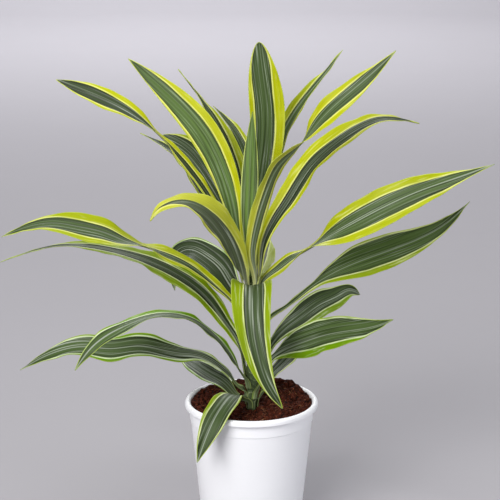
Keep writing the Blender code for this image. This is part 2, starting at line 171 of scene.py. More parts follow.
# Markings on a blade. Spots have a width and a length in millimetres. A step is where a marking
# starts and where it is full, an end is where it starts to fade and where it is gone. Shades and
# strengths are its values where it is absent and where it is full
MARKING_SEED_STEP = 17.0
LANE_STEP = 9.0
TIP_STEP = (0.74, 1.0)
USUAL_NARROWING = 0.7
WAVER = 0.2
WAVER_LENGTH = 55.0
STREAK_SPOTS = (1.2, 140.0)
STREAK_STEP = (0.52, 0.62)
# Streak strengths are their values where the painted sheen is absent and where it is full
STREAK_AND_SHEEN_STRENGTHS = (0.25, 0.85)
STREAK_FADE_ON_PALE = 0.65
# Painted sheen: broad patches where the pale streaks are laid on more strongly, standing in for the gleam of
# the waxy face
PAINTED_SHEEN_SPOTS = (9.0, 60.0)
PAINTED_SHEEN_STEP = (0.42, 0.66)
DARK_LINE_SPOTS = (1.9, 170.0)
DARK_LINE_STEP = (0.5, 0.62)
DARK_LINE_SHADES = (1.2, 0.65)
BORDER_STEP = (-4.0, -0.5)
BORDER_SHADES = (1.05, 0.6)
MARGIN_SHADES = (0.8, 1.2)
BLEACHED_SPOTS = (2.6, 30.0)
BLEACHED_STEP = (0.54, 0.74)
BLEACHED_STRENGTH = 0.5
BAND_END = (-0.3, 0.2)
CREAM_START = (-0.2, 0.3)
CREAM_END = (0.8, 1.7)
CREAM_SPOTS = (1.0, 34.0)
CREAM_STEP = (0.3, 0.55)
CREAM_STRENGTHS = (0.35, 0.9)
EDGE_END = (0.35, 0.9)
EDGE_STRENGTH = 0.75
RIB_END = (0.25, 0.8)
FOOT_END = (8.0, 46.0)
FOOT_STRENGTH = 0.5
FOOT_AGE = 1.6
UNDERSIDE_PALING = 0.08
UNDERSIDE_DULLING = 0.14
STREAK_DULLING = 0.12
BLADE_BUMP = (0.5, 0.15)

# Mottle: a fine noise over a coarse one, each with its scale, detail and roughness
MOTTLE_FINE = (4.0, 5.0, 0.65)
MOTTLE_COARSE = (1.0, 2.0, 0.5)
MOTTLE_FINE_SHARE = 0.6

# Finishes: spots to the metre, spread of the mottle, and strength and millimetres of each bump
PLASTIC_SPOTS = 60.0
PLASTIC_SPREAD = 0.8
PLASTIC_SHADE = (0.5, 0.5, 0.55)
PLASTIC_SHADE_SHARE = 0.04
PLASTIC_DULLING = 0.06
PLASTIC_BUMP = (0.06, 0.2)
PEAT_SPOTS = 280.0
PEAT_SPREAD = 0.14
PEAT_DRY = (520.0, 3.0, 0.6)
PEAT_DRY_STEP = (0.62, 0.72)
PEAT_DRY_STRENGTH = 0.8
PEAT_ROUGHNESS = (0.8, 0.92)
PEAT_GLOSS = 0.1
PEAT_BUMP = (0.9, 1.2)
CRUMB_DARKNESS = 0.4
FIBRE_PALE = (1.0, 0.9, 0.7)
FIBRE_PALE_SHARE = 0.3
SHEATH_LINES = (900.0, 900.0, 60.0)
SHEATH_SPREAD = 0.35
SHEATH_SHADE_SHARE = 0.5
SHEATH_EDGE_STEP = (0.84, 0.97)
SHEATH_EDGE_STRENGTH = 0.7
SHEATH_ROUGHNESS = 0.6
SHEATH_BUMP = (0.4, 0.3)
PAPER_SPREAD = 0.9
PAPER_SHADE_SHARE = 0.03
PAPER_ROUGHNESS = 0.9

# Stage: a floor in millimetres that bends up into a backdrop far outside the camera's path. The
# camera and the lights are placed in metres
SWEEP_FLOOR_RADIUS = 5000.0
SWEEP_BEND = 1000.0
SWEEP_HEIGHT = 4000.0
SWEEP_FACES = 128
SWEEP_ANGLES = range(0, 91, 6)
CAMERA_PLACE = (-0.0014, -1.4602, 0.645)
CAMERA_CLIP = 0.05
ROOM_COLOUR = (0.96, 0.96, 1.0, 1.0)
PLANT_MIDDLE = (0.0, 0.0, 0.25)
BACKDROP_FOOT = (-0.3, 4.3, 0.0)
LIGHTS = {
    "key": dict(place=(-1.1, -1.8, 1.6), target=PLANT_MIDDLE, size=1.5, colour=(1.0, 0.99, 0.98)),
    "fill": dict(place=(1.7, -1.0, 0.9), target=PLANT_MIDDLE, size=1.3, colour=(0.95, 0.97, 1.0)),
    "top": dict(place=(0.2, 0.3, 2.0), target=PLANT_MIDDLE, size=1.2, colour=(1.0, 1.0, 1.0)),
    "back": dict(place=(-0.3, 4.2, 2.6), target=BACKDROP_FOOT, size=2.6, colour=(0.97, 0.97, 1.0)),
}

# Each leaf has:
# foot: azimuth in degrees and height of its foot on the stem
# width: full width of its blade
# neck, widest: shares of its length where it starts to widen and where it is widest
# slim: how slender its tip is
# gutter: how far its two halves fold up, in degrees
# waves: number, height, phase and lag of the second margin's waves, the last two in degrees
# route: points of its midrib as x, y, z and the turn of its face about the midrib in degrees,
#     where 0 faces the front, or upwards in a leaf that is facing UP
LEAVES = {
    "leaf_top_upright": dict(
        foot=(50, 256), width=34, neck=0.05, widest=0.72, slim=0.58,
        gutter=14, waves=(3, 1.0, 0, 180),
        route=[(1, 6, 278, 0), (6, 18, 320, 4), (14, 24, 368, 4), (15, 28, 406, 0), (11, 31, 439, 0),
               (7, 34, 470, 0)],
    ),
    "leaf_top_young": dict(
        foot=(262, 250), width=17, neck=0.1, widest=0.55, slim=0.9,
        gutter=25, waves=(2, 0.5, 0, 180),
        route=[(-2, -6, 281, 180), (-3, -8, 302, 180), (-2, -10, 336, 180), (-1, -10, 365, 180),
               (0, -8, 388, 180), (1, -6, 410, 180)],
    ),
    "leaf_upper_right_steep": dict(
        foot=(27, 248), width=27, neck=0.08, widest=0.5, slim=1.1,
        gutter=30, waves=(3, 1.0, 0, 180),
        route=[(9, 9, 277, -40), (12, 27, 314, -42), (19, 44, 347, -45), (29, 54, 375, -48),
               (39, 63, 393, -50), (53, 72, 412, -50), (70, 81, 431, -50), (90, 92, 456, -45)],
    ),
    "leaf_upper_left_broad": dict(
        foot=(174, 242), width=29.5, neck=0.06, widest=0.6, slim=0.95,
        gutter=10, waves=(3, 1.0, 0, 180),
        route=[(-11, 6, 278, 55), (-16, 10, 309, 22), (-23, 17, 337, 5), (-34, 25, 364, 0),
               (-46, 31, 384, 0), (-77, 44, 417, 0), (-119, 60, 451, 0)],
    ),
    "leaf_upper_right_twisted": dict(
        foot=(312, 236), width=27, neck=0.0, widest=0.68, slim=1.1,
        gutter=10, waves=(3, 1.0, 0, 180),
        route=[(0, -15, 273, -165), (2, -20, 295, -155), (7, -25, 317, -145), (15, -31, 343, -132),
               (25, -37, 365, -115), (45, -42, 386, -85), (62, -45, 408, -45), (83, -46, 429, -25),
               (106, -46, 449, -15), (130, -42, 471, -15)],
    ),
    "leaf_right_arching": dict(
        foot=(350, 226), width=31, neck=0.12, widest=0.62, slim=1.2,
        gutter=20, waves=(3, 1.8, 60, 150),
        route=[(9, -6, 269, -30), (12, -8, 286, -30), (25, -6, 312, -35), (35, -3, 327, -35),
               (54, 6, 355, -40), (84, 14, 381, -45), (122, 24, 398, -50), (161, 34, 392, -60)],
    ),
    "leaf_upper_left_long": dict(
        foot=(200, 224), width=23, neck=0.14, widest=0.82, slim=0.85,
        gutter=12, waves=(3, 1.0, 0, 180),
        route=[(-18, -9, 282, 55), (-28, -15, 309, 50), (-43, -18, 338, 50), (-66, -19, 369, 66),
               (-86, -17, 390, 84), (-112, -12, 410, 42), (-143, -6, 425, 28), (-182, 2, 439, 30)],
    ),
    "leaf_upper_left_hidden": dict(
        foot=(135, 232), width=24, neck=0.1, widest=0.5, slim=1.2,
        gutter=15, waves=(3, 1.0, 0, 180),
        route=[(-12, 16, 269, 40), (-24, 32, 292, 40), (-42, 56, 316, 40), (-61, 86, 338, 45),
               (-87, 114, 355, 50), (-114, 136, 365, 50)],
    ),
    "leaf_upper_left_middle": dict(
        foot=(96, 239), width=36, neck=0.05, widest=0.62, slim=0.8,
        gutter=12, waves=(3, 1.0, 0, 180),
        route=[(-5, 17, 273, 30), (-15, 32, 295, 30), (-32, 52, 323, 25), (-48, 72, 344, 15),
               (-67, 92, 360, 10), (-89, 108, 368, 10)],
    ),
    "leaf_left_curled": dict(
        foot=(228, 232), width=29, neck=0.05, widest=0.58, slim=1.0,
        gutter=15, waves=(3, 1.5, 0, 180),
        route=[(-7, -15, 256, 190), (-14, -31, 284, 200), (-25, -50, 310, 205), (-40, -68, 331, 212),
               (-58, -82, 342, 222), (-74, -92, 342, 222), (-86, -97, 334, 215), (-90, -99, 327, 210)],
    ),
    "leaf_top_left_edge": dict(
        foot=(150, 257), width=26, neck=0.12, widest=0.45, slim=1.5,
        gutter=20, waves=(3, 1.0, 0, 180),
        route=[(-5, 9, 277, 30), (-9, 27, 309, 25), (-15, 40, 337, 18), (-25, 52, 366, 15),
               (-37, 64, 390, 25), (-53, 76, 414, 75), (-72, 88, 437, 80)],
    ),
    "leaf_top_back": dict(
        foot=(106, 249), width=26, neck=0.1, widest=0.5, slim=1.1,
        gutter=20, waves=(3, 1.0, 0, 180),
        route=[(-1, 14, 272, 10), (0, 38, 306, 20), (-1, 64, 343, 30), (-10, 82, 367, 35),
               (-23, 97, 383, 40), (-38, 110, 397, 45)],
    ),
    "leaf_front_drooping": dict(
        foot=(264, 216), width=41, neck=0.05, widest=0.32, slim=0.9,
        gutter=38, waves=(3, 1.0, 0, 180),
        facing=UP,
        route=[(0, -11, 237, 0), (0, -20, 245, 0), (0, -34, 250, 0), (0, -50, 251, 0), (0, -70, 242, 3),
               (1, -86, 225, 8), (6, -98, 200, 30), (15, -106, 176, 45), (28, -110, 155, 60)],
    ),
    "leaf_back_level": dict(
        foot=(85, 211), width=30, neck=0.05, widest=0.4, slim=1.1,
        gutter=20, waves=(3, 1.0, 0, 180),
        route=[(4, 14, 244, -20), (7, 36, 247, -25), (10, 68, 247, -25), (13, 102, 247, -25),
               (16, 138, 246, -25), (19, 172, 247, -20)],
    ),
    "leaf_right_broad": dict(
        foot=(348, 208), width=39, neck=0.04, widest=0.56, slim=1.3,
        gutter=10, waves=(3, 1.5, 0, 150),
        route=[(11, -1, 244, -60), (24, -5, 257, -52), (37, -8, 268, -58), (54, -10, 279, -86),
               (68, -13, 289, -70), (84, -16, 299, -42), (120, -20, 320, -18), (157, -22, 338, -18),
               (194, -20, 351, -25), (227, -14, 362, -30)],
    ),
    "leaf_right_dark": dict(
        foot=(5, 164), width=36, neck=0.36, widest=0.58, slim=1.25,
        gutter=10, waves=(3, 1.5, 90, 150),
        route=[(12, 4, 199, -50), (36, 12, 217, -55), (56, 18, 232, -50), (87, 24, 250, -24),
               (125, 29, 264, -16), (160, 32, 277, -18), (188, 32, 293, -25), (211, 28, 317, -30)],
    ),
    "leaf_right_back_short": dict(
        foot=(60, 127), width=30, neck=0.25, widest=0.62, slim=0.8,
        gutter=12, waves=(3, 1.0, 0, 180),
        route=[(8, 9, 144, -20), (14, 18, 162, -20), (28, 34, 180, -20), (49, 60, 189, -20),
               (70, 88, 196, -20), (90, 114, 198, -20), (103, 130, 199, -20), (115, 142, 191, -20)],
    ),
    "leaf_right_front": dict(
        foot=(312, 126), width=34, neck=0.26, widest=0.55, slim=1.0,
        gutter=12, waves=(3, 1.5, 0, 150),
        route=[(7, -9, 140, -40), (13, -18, 162, -35), (28, -36, 185, -28), (47, -58, 201, -20),
               (69, -84, 217, -20), (89, -110, 229, -20), (108, -130, 239, -25), (123, -146, 250, -30)],
    ),
    "leaf_right_low_small": dict(
        foot=(20, 117), width=15, neck=0.1, widest=0.5, slim=1.0,
        gutter=15, waves=(2, 1.0, 0, 180),
        route=[(11, 8, 129, -20), (18, 14, 141, -30), (28, 28, 149, -30), (39, 46, 154, -30),
               (51, 66, 158, -30), (62, 86, 159, -30)],
    ),
    "leaf_left_arch_upper": dict(
        foot=(203, 184), width=33, neck=0.15, widest=0.66, slim=1.2,
        gutter=10, waves=(4, 1.5, 0, 150),
        route=[(-15, -8, 222, 50), (-34, -14, 244, 50), (-51, -18, 260, 50), (-69, -22, 272, 56),
               (-86, -25, 280, 70), (-101, -27, 286, 84), (-118, -27, 291, 60), (-138, -26, 299, 42),
               (-161, -24, 304, 36), (-185, -21, 307, 40), (-211, -15, 302, 50), (-237, -10, 291, 60)],
    ),
    "leaf_left_arch_narrow": dict(
        foot=(165, 146), width=31, neck=0.1, widest=0.42, slim=1.8,
        gutter=12, waves=(4, 1.5, 0, 150),
        route=[(-11, 6, 176, 30), (-26, 12, 201, 40), (-45, 18, 225, 40), (-70, 22, 244, 45),
               (-99, 24, 258, 50), (-136, 26, 269, 60), (-186, 24, 274, 60), (-244, 18, 259, 60)],
    ),
    "leaf_left_bent_over": dict(
        foot=(122, 190), width=34, neck=0.15, widest=0.5, slim=1.0,
        gutter=15, waves=(2, 1.0, 0, 180),
        route=[(-8, 14, 220, 20), (-19, 24, 231, 20), (-31, 42, 245, 20), (-45, 60, 253, 25),
               (-60, 78, 256, 30), (-73, 92, 249, 35), (-80, 100, 231, 20), (-79, 104, 206, 10)],
    ),
    "leaf_left_thin_arch": dict(
        foot=(230, 137), width=23, neck=0.1, widest=0.66, slim=1.0,
        gutter=12, waves=(5, 1.5, 0, 60),
        route=[(-8, -9, 152, 50), (-24, -22, 183, 60), (-46, -38, 211, 70), (-73, -58, 228, 70),
               (-98, -76, 230, 68), (-122, -92, 224, 46), (-143, -104, 212, 24), (-159, -112, 192, 10)],
    ),
    "leaf_left_long_low": dict(
        foot=(196, 128), width=29, neck=0.2, widest=0.58, slim=1.15,
        gutter=10, waves=(3.7, 2.5, 150, 20),
        route=[(-11, -5, 138, 50), (-20, -9, 151, 46), (-29, -14, 162, 42), (-42, -20, 173, 42),
               (-54, -25, 179, 40), (-68, -30, 182, 38), (-91, -34, 188, 38), (-106, -36, 191, 36),
               (-132, -38, 189, 36), (-158, -38, 191, 36), (-186, -36, 185, 38), (-221, -30, 165, 45)],
    ),
    "leaf_left_low_back": dict(
        foot=(148, 120), width=22, neck=0.1, widest=0.5, slim=1.1,
        gutter=12, waves=(3, 1.0, 0, 180),
        route=[(-11, 8, 124, 30), (-24, 14, 133, 35), (-38, 26, 139, 35), (-55, 46, 143, 40),
               (-67, 68, 144, 40), (-77, 90, 146, 40)],
    ),
    "leaf_front_low_drooping": dict(
        foot=(244, 117), width=28, neck=0.12, widest=0.5, slim=1.0,
        gutter=12, waves=(2, 1.0, 0, 180),
        facing=UP,
        route=[(-9, -13, 129, 0), (-17, -25, 138, 0), (-24, -42, 138, 0), (-32, -57, 131, -10),
               (-41, -68, 115, -30), (-51, -76, 89, -40)],
    ),
}


def markings(first, second, green, light, rib, narrowing=USUAL_NARROWING):
    return dict(first=first, second=second, green=green, light=light, rib=rib, narrowing=narrowing)


# Markings of each leaf, in this order, each as its value at the foot and at the tip:
# first, second: share of the half blade that each margin takes.
#     Seen on its face with the tip up, the first margin is the left one
# green: 0 for lemon yellow margins to 1 for leaf green ones
# light: 0 for the darkest middle band to 1 for the palest
# rib: how plainly the midrib shows as a pale line, one value
# narrowing: share of both margins lost at the very tip, one value, where it isn't the usual one.
#     It is below 0 where the margins widen instead
LOOKS = {
    "leaf_top_upright": markings((0.35, 0.3), (0.5, 0.65), (0.1, 0.2), (0.35, 0.25), 0.1),
    "leaf_top_young": markings((0.12, 0.15), (0.12, 0.15), (0.5, 0.6), (1.0, 0.9), 0.2),
    "leaf_upper_right_steep": markings((0.8, 0.6), (0.3, 0.3), (0.1, 0.4), (0.3, 0.6), 0.4),
    "leaf_upper_left_broad": markings((0.15, 0.2), (0.6, 0.5), (0.0, 0.1), (0.9, 0.35), 0.1),
    "leaf_upper_right_twisted": markings((0.2, 0.65), (0.9, 0.25), (0.0, 0.15), (0.5, 0.25), 0.5),
    "leaf_right_arching": markings((0.6, 0.7), (0.35, 0.35), (0.1, 0.2), (0.1, 0.1), 0.2),
    "leaf_upper_left_long": markings((0.3, 0.35), (0.9, 0.45), (0.0, 0.1), (0.1, 0.1), 0.1),
    "leaf_upper_left_hidden": markings((0.2, 0.2), (0.4, 0.4), (0.3, 0.3), (0.1, 0.1), 0.1),
    "leaf_upper_left_middle": markings((0.15, 0.15), (0.35, 0.6), (0.2, 0.5), (0.1, 0.15), 0.1),
    "leaf_left_curled": markings((0.45, 1.3), (0.06, 0.2), (0.0, 0.0), (0.15, 0.15), 0.0, -4.0),
    "leaf_top_left_edge": markings((0.75, 0.35), (0.75, 0.35), (0.3, 0.4), (0.2, 0.2), 0.1),
    "leaf_top_back": markings((0.12, 0.12), (0.7, 0.6), (0.3, 0.3), (0.2, 0.2), 0.1),
    "leaf_front_drooping": markings((0.45, 0.32), (0.72, 0.5), (0.6, 0.7), (0.15, 0.2), 0.25),
    "leaf_back_level": markings((0.15, 0.15), (0.8, 0.6), (0.45, 0.5), (0.1, 0.1), 0.1),
    "leaf_right_broad": markings((0.4, 0.5), (0.75, 0.2), (0.2, 0.25), (0.3, 0.35), 0.8),
    "leaf_right_dark": markings((0.16, 0.14), (0.75, 0.12), (0.6, 0.6), (0.45, 0.4), 0.7),
    "leaf_right_back_short": markings((0.16, 0.14), (0.4, 0.6), (0.8, 0.8), (0.25, 0.2), 0.4),
    "leaf_right_front": markings((0.15, 0.12), (0.65, 0.35), (0.9, 0.9), (0.3, 0.3), 0.5),
    "leaf_right_low_small": markings((0.15, 0.1), (0.2, 0.2), (0.7, 0.7), (0.1, 0.1), 0.1),
    "leaf_left_arch_upper": markings((0.55, 0.35), (1.1, 0.3), (0.2, 0.4), (0.2, 0.3), 0.3),
    "leaf_left_arch_narrow": markings((0.75, 0.35), (0.5, 0.6), (0.8, 0.6), (0.15, 0.15), 0.3),
    "leaf_left_bent_over": markings((0.12, 0.12), (0.12, 0.12), (1.0, 1.0), (0.1, 0.1), 0.8),
    "leaf_left_thin_arch": markings((0.12, 0.08), (0.75, 0.3), (1.0, 0.9), (0.1, 0.4), 0.4),
    "leaf_left_long_low": markings((0.3, 0.25), (0.28, 0.2), (1.0, 0.9), (0.1, 0.35), 0.5),
    "leaf_left_low_back": markings((0.3, 0.25), (0.12, 0.12), (1.0, 1.0), (0.1, 0.1), 0.3),
    "leaf_front_low_drooping": markings((0.18, 0.15), (0.45, 0.2), (0.7, 0.7), (0.15, 0.25), 0.7),
}


def screen_colour(red, green, blue):
    """The linear colour of one seen on a screen with values from 0 to 255."""
    shares = np.array([red, green, blue]) / 255.0
    linear = np.where(shares <= 0.04045, shares / 12.92, ((shares + 0.055) / 1.055) ** 2.4)
    return tuple(linear.tolist())


def colour_property(name, description, red, green, blue):
    return FloatVectorProperty(
        name=name,
        description=description,
        default=screen_colour(red, green, blue),
        subtype="COLOR",
        size=3,
        min=0.0,
        max=1.0,
    )


def length_property(name, description, millimetres):
    return FloatProperty(
        name=name, description=description, default=millimetres * MM, min=0.0, unit="LENGTH", precision=5
    )


def share_property(name, description, share):
    return FloatProperty(
        name=name, description=description, default=share, min=0.0, max=1.0, subtype="FACTOR"
    )


def count_property(name, description, count, least):
    return IntProperty(name=name, description=description, default=count, min=least)


def power_property(name, description, watts):
    return FloatProperty(name=name, description=description, default=watts, min=0.0, unit="POWER")


class DracaenaLeaves(bpy.types.PropertyGroup):
    thickness: length_property("Thickness", "Thickness of a blade beside its midrib", 0.5)
    midrib: length_property("Midrib", "How far the midrib stands out under the blade", 0.5)
    pleat: length_property("Pleats", "Height of the fine lengthwise pleats", 0.12)
    ripple: length_property("Ripple", "Height of the small ripples along the margins", 2.0)
    stations: count_property("Stations", "Rows of points along a blade", 150, 20)
    across: count_property("Across", "Faces across a blade", 32, 4)
    dark: colour_property("Dark band", "Darkest green of the middle band", 40, 48, 34)
    pale: colour_property("Pale band", "Palest green of the middle band", 94, 122, 54)
    streak: colour_property("Streaks", "Fine streaks in the middle band", 156, 164, 150)
    yellow: colour_property("Yellow margin", "Margin of the youngest leaves", 174, 177, 0)
    green: colour_property("Green margin", "Margin of the oldest leaves", 84, 128, 0)
    cream: colour_property("Cream line", "Line between band and margin", 214, 216, 116)
    white: colour_property("White line", "The same line on the oldest leaves", 200, 212, 172)
    edge: colour_property("Edge", "Thin pale outer edge", 184, 196, 80)
    young_foot: colour_property("Young foot", "Youngest blades near the stem", 196, 200, 172)
    foot: colour_property("Foot", "Oldest blades near the stem", 116, 132, 88)
    roughness: share_property("Roughness", "Roughness of the waxy face", 0.4)
    gloss: share_property("Gloss", "Strength of the waxy face's reflections", 0.14)


class DracaenaPot(bpy.types.PropertyGroup):
    steps: count_property("Steps", "Faces round the pot", 180, 24)
    plastic: colour_property("Plastic", "White of the plastic", 250, 251, 254)
    roughness: share_property("Roughness", "Roughness of the satin plastic", 0.38)


class DracaenaSoil(bpy.types.PropertyGroup):
    steps: count_property("Steps", "Faces round the soil", 240, 24)
    rings: count_property("Rings", "Rings of faces on its surface", 84, 9)
    crumbs: count_property("Crumbs", "Loose crumbs on the surface", 1300, 0)
    fibres: count_property("Fibres", "Fibres on the surface", 110, 0)
    seed: count_property("Seed", "Seed of the crumbs' and fibres' places", 7, 0)
    # The darkest peat is laid where the mottle's bump is lowest
    dark: colour_property("Dark peat", "Moist peat in the hollows", 9, 4, 3)
    middle: colour_property("Peat", "Reddish-brown peat", 84, 38, 24)
    light: colour_property("Light peat", "Dry crumbs", 182, 104, 66)
    fibre: colour_property("Fibre", "Tan fibres", 150, 104, 70)


class DracaenaStem(bpy.types.PropertyGroup):
    sheath: length_property("Sheath", "Height of one leaf sheath", 9.0)
    relief: length_property("Relief", "How far a sheath's edge stands out", 0.5)
    green: colour_property("Green", "Leaf sheaths", 78, 96, 56)
    edge: colour_property("Edge", "Pale edge of a leaf sheath", 168, 178, 128)


class DracaenaStage(bpy.types.PropertyGroup):
    eye: FloatVectorProperty(
        name="Eye", description="Place of the camera", default=CAMERA_PLACE, subtype="XYZ", unit="LENGTH"
    )
    pitch: FloatProperty(
        name="Pitch", description="Downward tilt of the camera", default=math.radians(14.2), subtype="ANGLE"
    )
    lens: FloatProperty(name="Lens", description="Focal length", default=113.47, unit="CAMERA")
    floor: colour_property("Floor", "Floor and backdrop", 161, 159, 163)
    key: power_property("Key light", "Power of the key light", 68.0)
    fill: power_property("Fill light", "Power of the fill light", 14.0)
    top: power_property("Top light", "Power of the top light", 14.0)
    back: power_property("Back light", "Power of the backdrop's light", 140.0)
    surround: share_property("Surround", "Brightness of the room", 0.38)


def plug(tree, socket, value):
    """Links a socket to the value where that is a socket too, and otherwise sets it."""
    if isinstance(value, bpy.types.NodeSocket):
        tree.links.new(value, socket)
    elif isinstance(value, tuple) and socket.type == "RGBA":
        socket.default_value = (*value[:3], 1.0)
    else:
        socket.default_value = value


def add_math(tree, operation, *values):
    node = tree.nodes.new("ShaderNodeMath")
    node.operation = operation
    for socket, value in zip(node.inputs, values):
        plug(tree, socket, value)
    return node.outputs[0]


def add_step(tree, value, low, high):
    """A smooth step from 0 at low to 1 at high."""
    node = tree.nodes.new("ShaderNodeMapRange")
    node.interpolation_type = "SMOOTHSTEP"
    plug(tree, node.inputs["Value"], value)
    plug(tree, node.inputs["From Min"], low)
    plug(tree, node.inputs["From Max"], high)
    return node.outputs["Result"]


def add_fade(tree, value, low, high):
    """A smooth step from 1 at low to 0 at high."""
    return add_math(tree, "SUBTRACT", 1.0, add_step(tree, value, low, high))


def add_mix(tree, share, first, second):
    """A number between two numbers."""
    node = tree.nodes.new("ShaderNodeMapRange")
    plug(tree, node.inputs["Value"], share)
    plug(tree, node.inputs["To Min"], first)
    plug(tree, node.inputs["To Max"], second)
    return node.outputs["Result"]


def add_level(tree, share, absent, full):
    """A number that is the first one where the share is 0 and the second one where it is 1."""
    return add_math(tree, "MULTIPLY_ADD", share, full - absent, absent)


def add_blend(tree, share, first, second):
    """A colour between two colours."""
    node = tree.nodes.new("ShaderNodeMix")
    node.data_type = "RGBA"
    factor, first_colour, second_colour = node.inputs[0], node.inputs[6], node.inputs[7]
    plug(tree, factor, share)
    plug(tree, first_colour, first)
    plug(tree, second_colour, second)
    return node.outputs[2]


def add_tint(tree, colour, tint, mask, strength):
    """The colour with the tint laid over it where the mask is, at that strength."""
    return add_blend(tree, add_math(tree, "MULTIPLY", mask, strength), colour, tint)


def add_vector(tree, x, y, z):
    node = tree.nodes.new("ShaderNodeCombineXYZ")
    for socket, value in zip(node.inputs, (x, y, z)):
        plug(tree, socket, value)
    return node.outputs[0]


def add_parts(tree, vector):
    """The vector's three numbers."""
    node = tree.nodes.new("ShaderNodeSeparateXYZ")
    tree.links.new(vector, node.inputs[0])
    return node.outputs


def add_scaled(tree, vector, scale):
    node = tree.nodes.new("ShaderNodeVectorMath")
    node.operation = "SCALE"
    plug(tree, node.inputs[0], vector)
    plug(tree, node.inputs["Scale"], scale)
    return node.outputs[0]


def add_noise(tree, vector, scale, detail=2.0, roughness=0.5):
    node = tree.nodes.new("ShaderNodeTexNoise")
    plug(tree, node.inputs["Vector"], vector)
    node.inputs["Scale"].default_value = scale
    node.inputs["Detail"].default_value = detail
    node.inputs["Roughness"].default_value = roughness
    return node.outputs["Fac"]


def add_bump(tree, shader, height, strength, millimetres):
    """Bumps of that height on the shader's surface."""
    node = tree.nodes.new("ShaderNodeBump")
    node.inputs["Strength"].default_value = strength
    node.inputs["Distance"].default_value = millimetres * MM
    tree.links.new(height, node.inputs["Height"])
    tree.links.new(node.outputs["Normal"], shader.inputs["Normal"])


def mesh_value(tree, name, output):
    """What the mesh holds under the name, as its Fac for a number or its Vector for a place."""
    node = tree.nodes.new("ShaderNodeAttribute")
    node.attribute_name = name
    return node.outputs[output]


def object_place(tree):
    return tree.nodes.new("ShaderNodeTexCoord").outputs["Object"]


def new_group(name, numbers, vectors, colours, outputs):
    """A node group with its named sockets, and the nodes that hold them."""
    group = bpy.data.node_groups.new(name, "ShaderNodeTree")
    kinds = (("NodeSocketVector", vectors), ("NodeSocketFloat", numbers), ("NodeSocketColor", colours))
    for kind, names in kinds:
        for socket in names:
            group.interface.new_socket(name=socket, in_out="INPUT", socket_type=kind)
    for socket, kind in outputs.items():
        group.interface.new_socket(name=socket, in_out="OUTPUT", socket_type=kind)
    return group, group.nodes.new("NodeGroupInput").outputs, group.nodes.new("NodeGroupOutput").inputs


def use_group(tree, name, build, values):
    """Places the node group of that name, which is built the first time that it is used."""
    node = tree.nodes.new("ShaderNodeGroup")
    node.node_tree = bpy.data.node_groups.get(name) or build(name)
    for socket, value in values.items():
        plug(tree, node.inputs[socket], value)
    return node.outputs


def lengthwise_noise(tree, x, run, seed, width, length):
    """A noise whose spots are stretched along the blade, in millimetres."""
    across = add_math(tree, "DIVIDE", x, width)
    along = add_math(tree, "DIVIDE", run, length)
    return add_noise(tree, add_vector(tree, across, along, seed), 1.0)


def distance_past_band(tree, given, second, lane, place):
    """How far outside the middle band a place lies, in millimetres."""
    x, run, half = place
    first_margin = add_mix(tree, given["Along"], given["First Foot"], given["First Tip"])
    second_margin = add_mix(tree, given["Along"], given["Second Foot"], given["Second Tip"])
    margin = add_mix(tree, second, first_margin, second_margin)
    lost = add_math(tree, "MULTIPLY", add_step(tree, given["Along"], *TIP_STEP), given["Narrowing"])
    margin = add_math(tree, "MULTIPLY", margin, add_math(tree, "SUBTRACT", 1.0, lost))
    waver = add_noise(tree, add_vector(tree, lane, add_math(tree, "DIVIDE", run, WAVER_LENGTH), 0.0), 1.0)
    waver = add_level(tree, waver, -WAVER / 2, WAVER / 2)
    limit = add_math(tree, "SUBTRACT", add_math(tree, "SUBTRACT", 1.0, margin), waver)
    limit = add_math(tree, "MULTIPLY", limit, half)
    return add_math(tree, "SUBTRACT", add_math(tree, "ABSOLUTE", x), limit)


def streaked_band(tree, given, fine, lane, past, x, run):
    """The middle band's colour, with dark lines, pale streaks, a darker border and painted sheen, where the
    streaks are laid on more strongly.
    """
    dark_lines = lengthwise_noise(tree, x, run, lane, *DARK_LINE_SPOTS)
    dark_lines = add_step(tree, dark_lines, *DARK_LINE_STEP)
    # Painted sheen: broad patches in which the pale streaks are stronger
    painted_sheen = add_step(tree, lengthwise_noise(tree, x, run, lane, *PAINTED_SHEEN_SPOTS), *PAINTED_SHEEN_STEP)
    border = add_step(tree, past, *BORDER_STEP)
    colour = add_blend(tree, given["Along"], given["Band Foot"], given["Band Tip"])
    colour = add_scaled(tree, colour, add_level(tree, dark_lines, *DARK_LINE_SHADES))
    colour = add_scaled(tree, colour, add_level(tree, border, *BORDER_SHADES))
    streaks = add_step(tree, fine, *STREAK_STEP)
    return add_tint(tree, colour, given["Streak"], streaks, add_level(tree, painted_sheen, *STREAK_AND_SHEEN_STRENGTHS))


def bleached_margin(tree, given, fine, lane, x, run):
    """The margins' colour, paler in places."""
    colour = add_blend(tree, given["Along"], given["Margin Foot"], given["Margin Tip"])
    colour = add_scaled(tree, colour, add_level(tree, fine, *MARGIN_SHADES))
    bleached = add_step(tree, lengthwise_noise(tree, x, run, lane, *BLEACHED_SPOTS), *BLEACHED_STEP)
    return add_tint(tree, colour, given["Cream"], bleached, BLEACHED_STRENGTH)


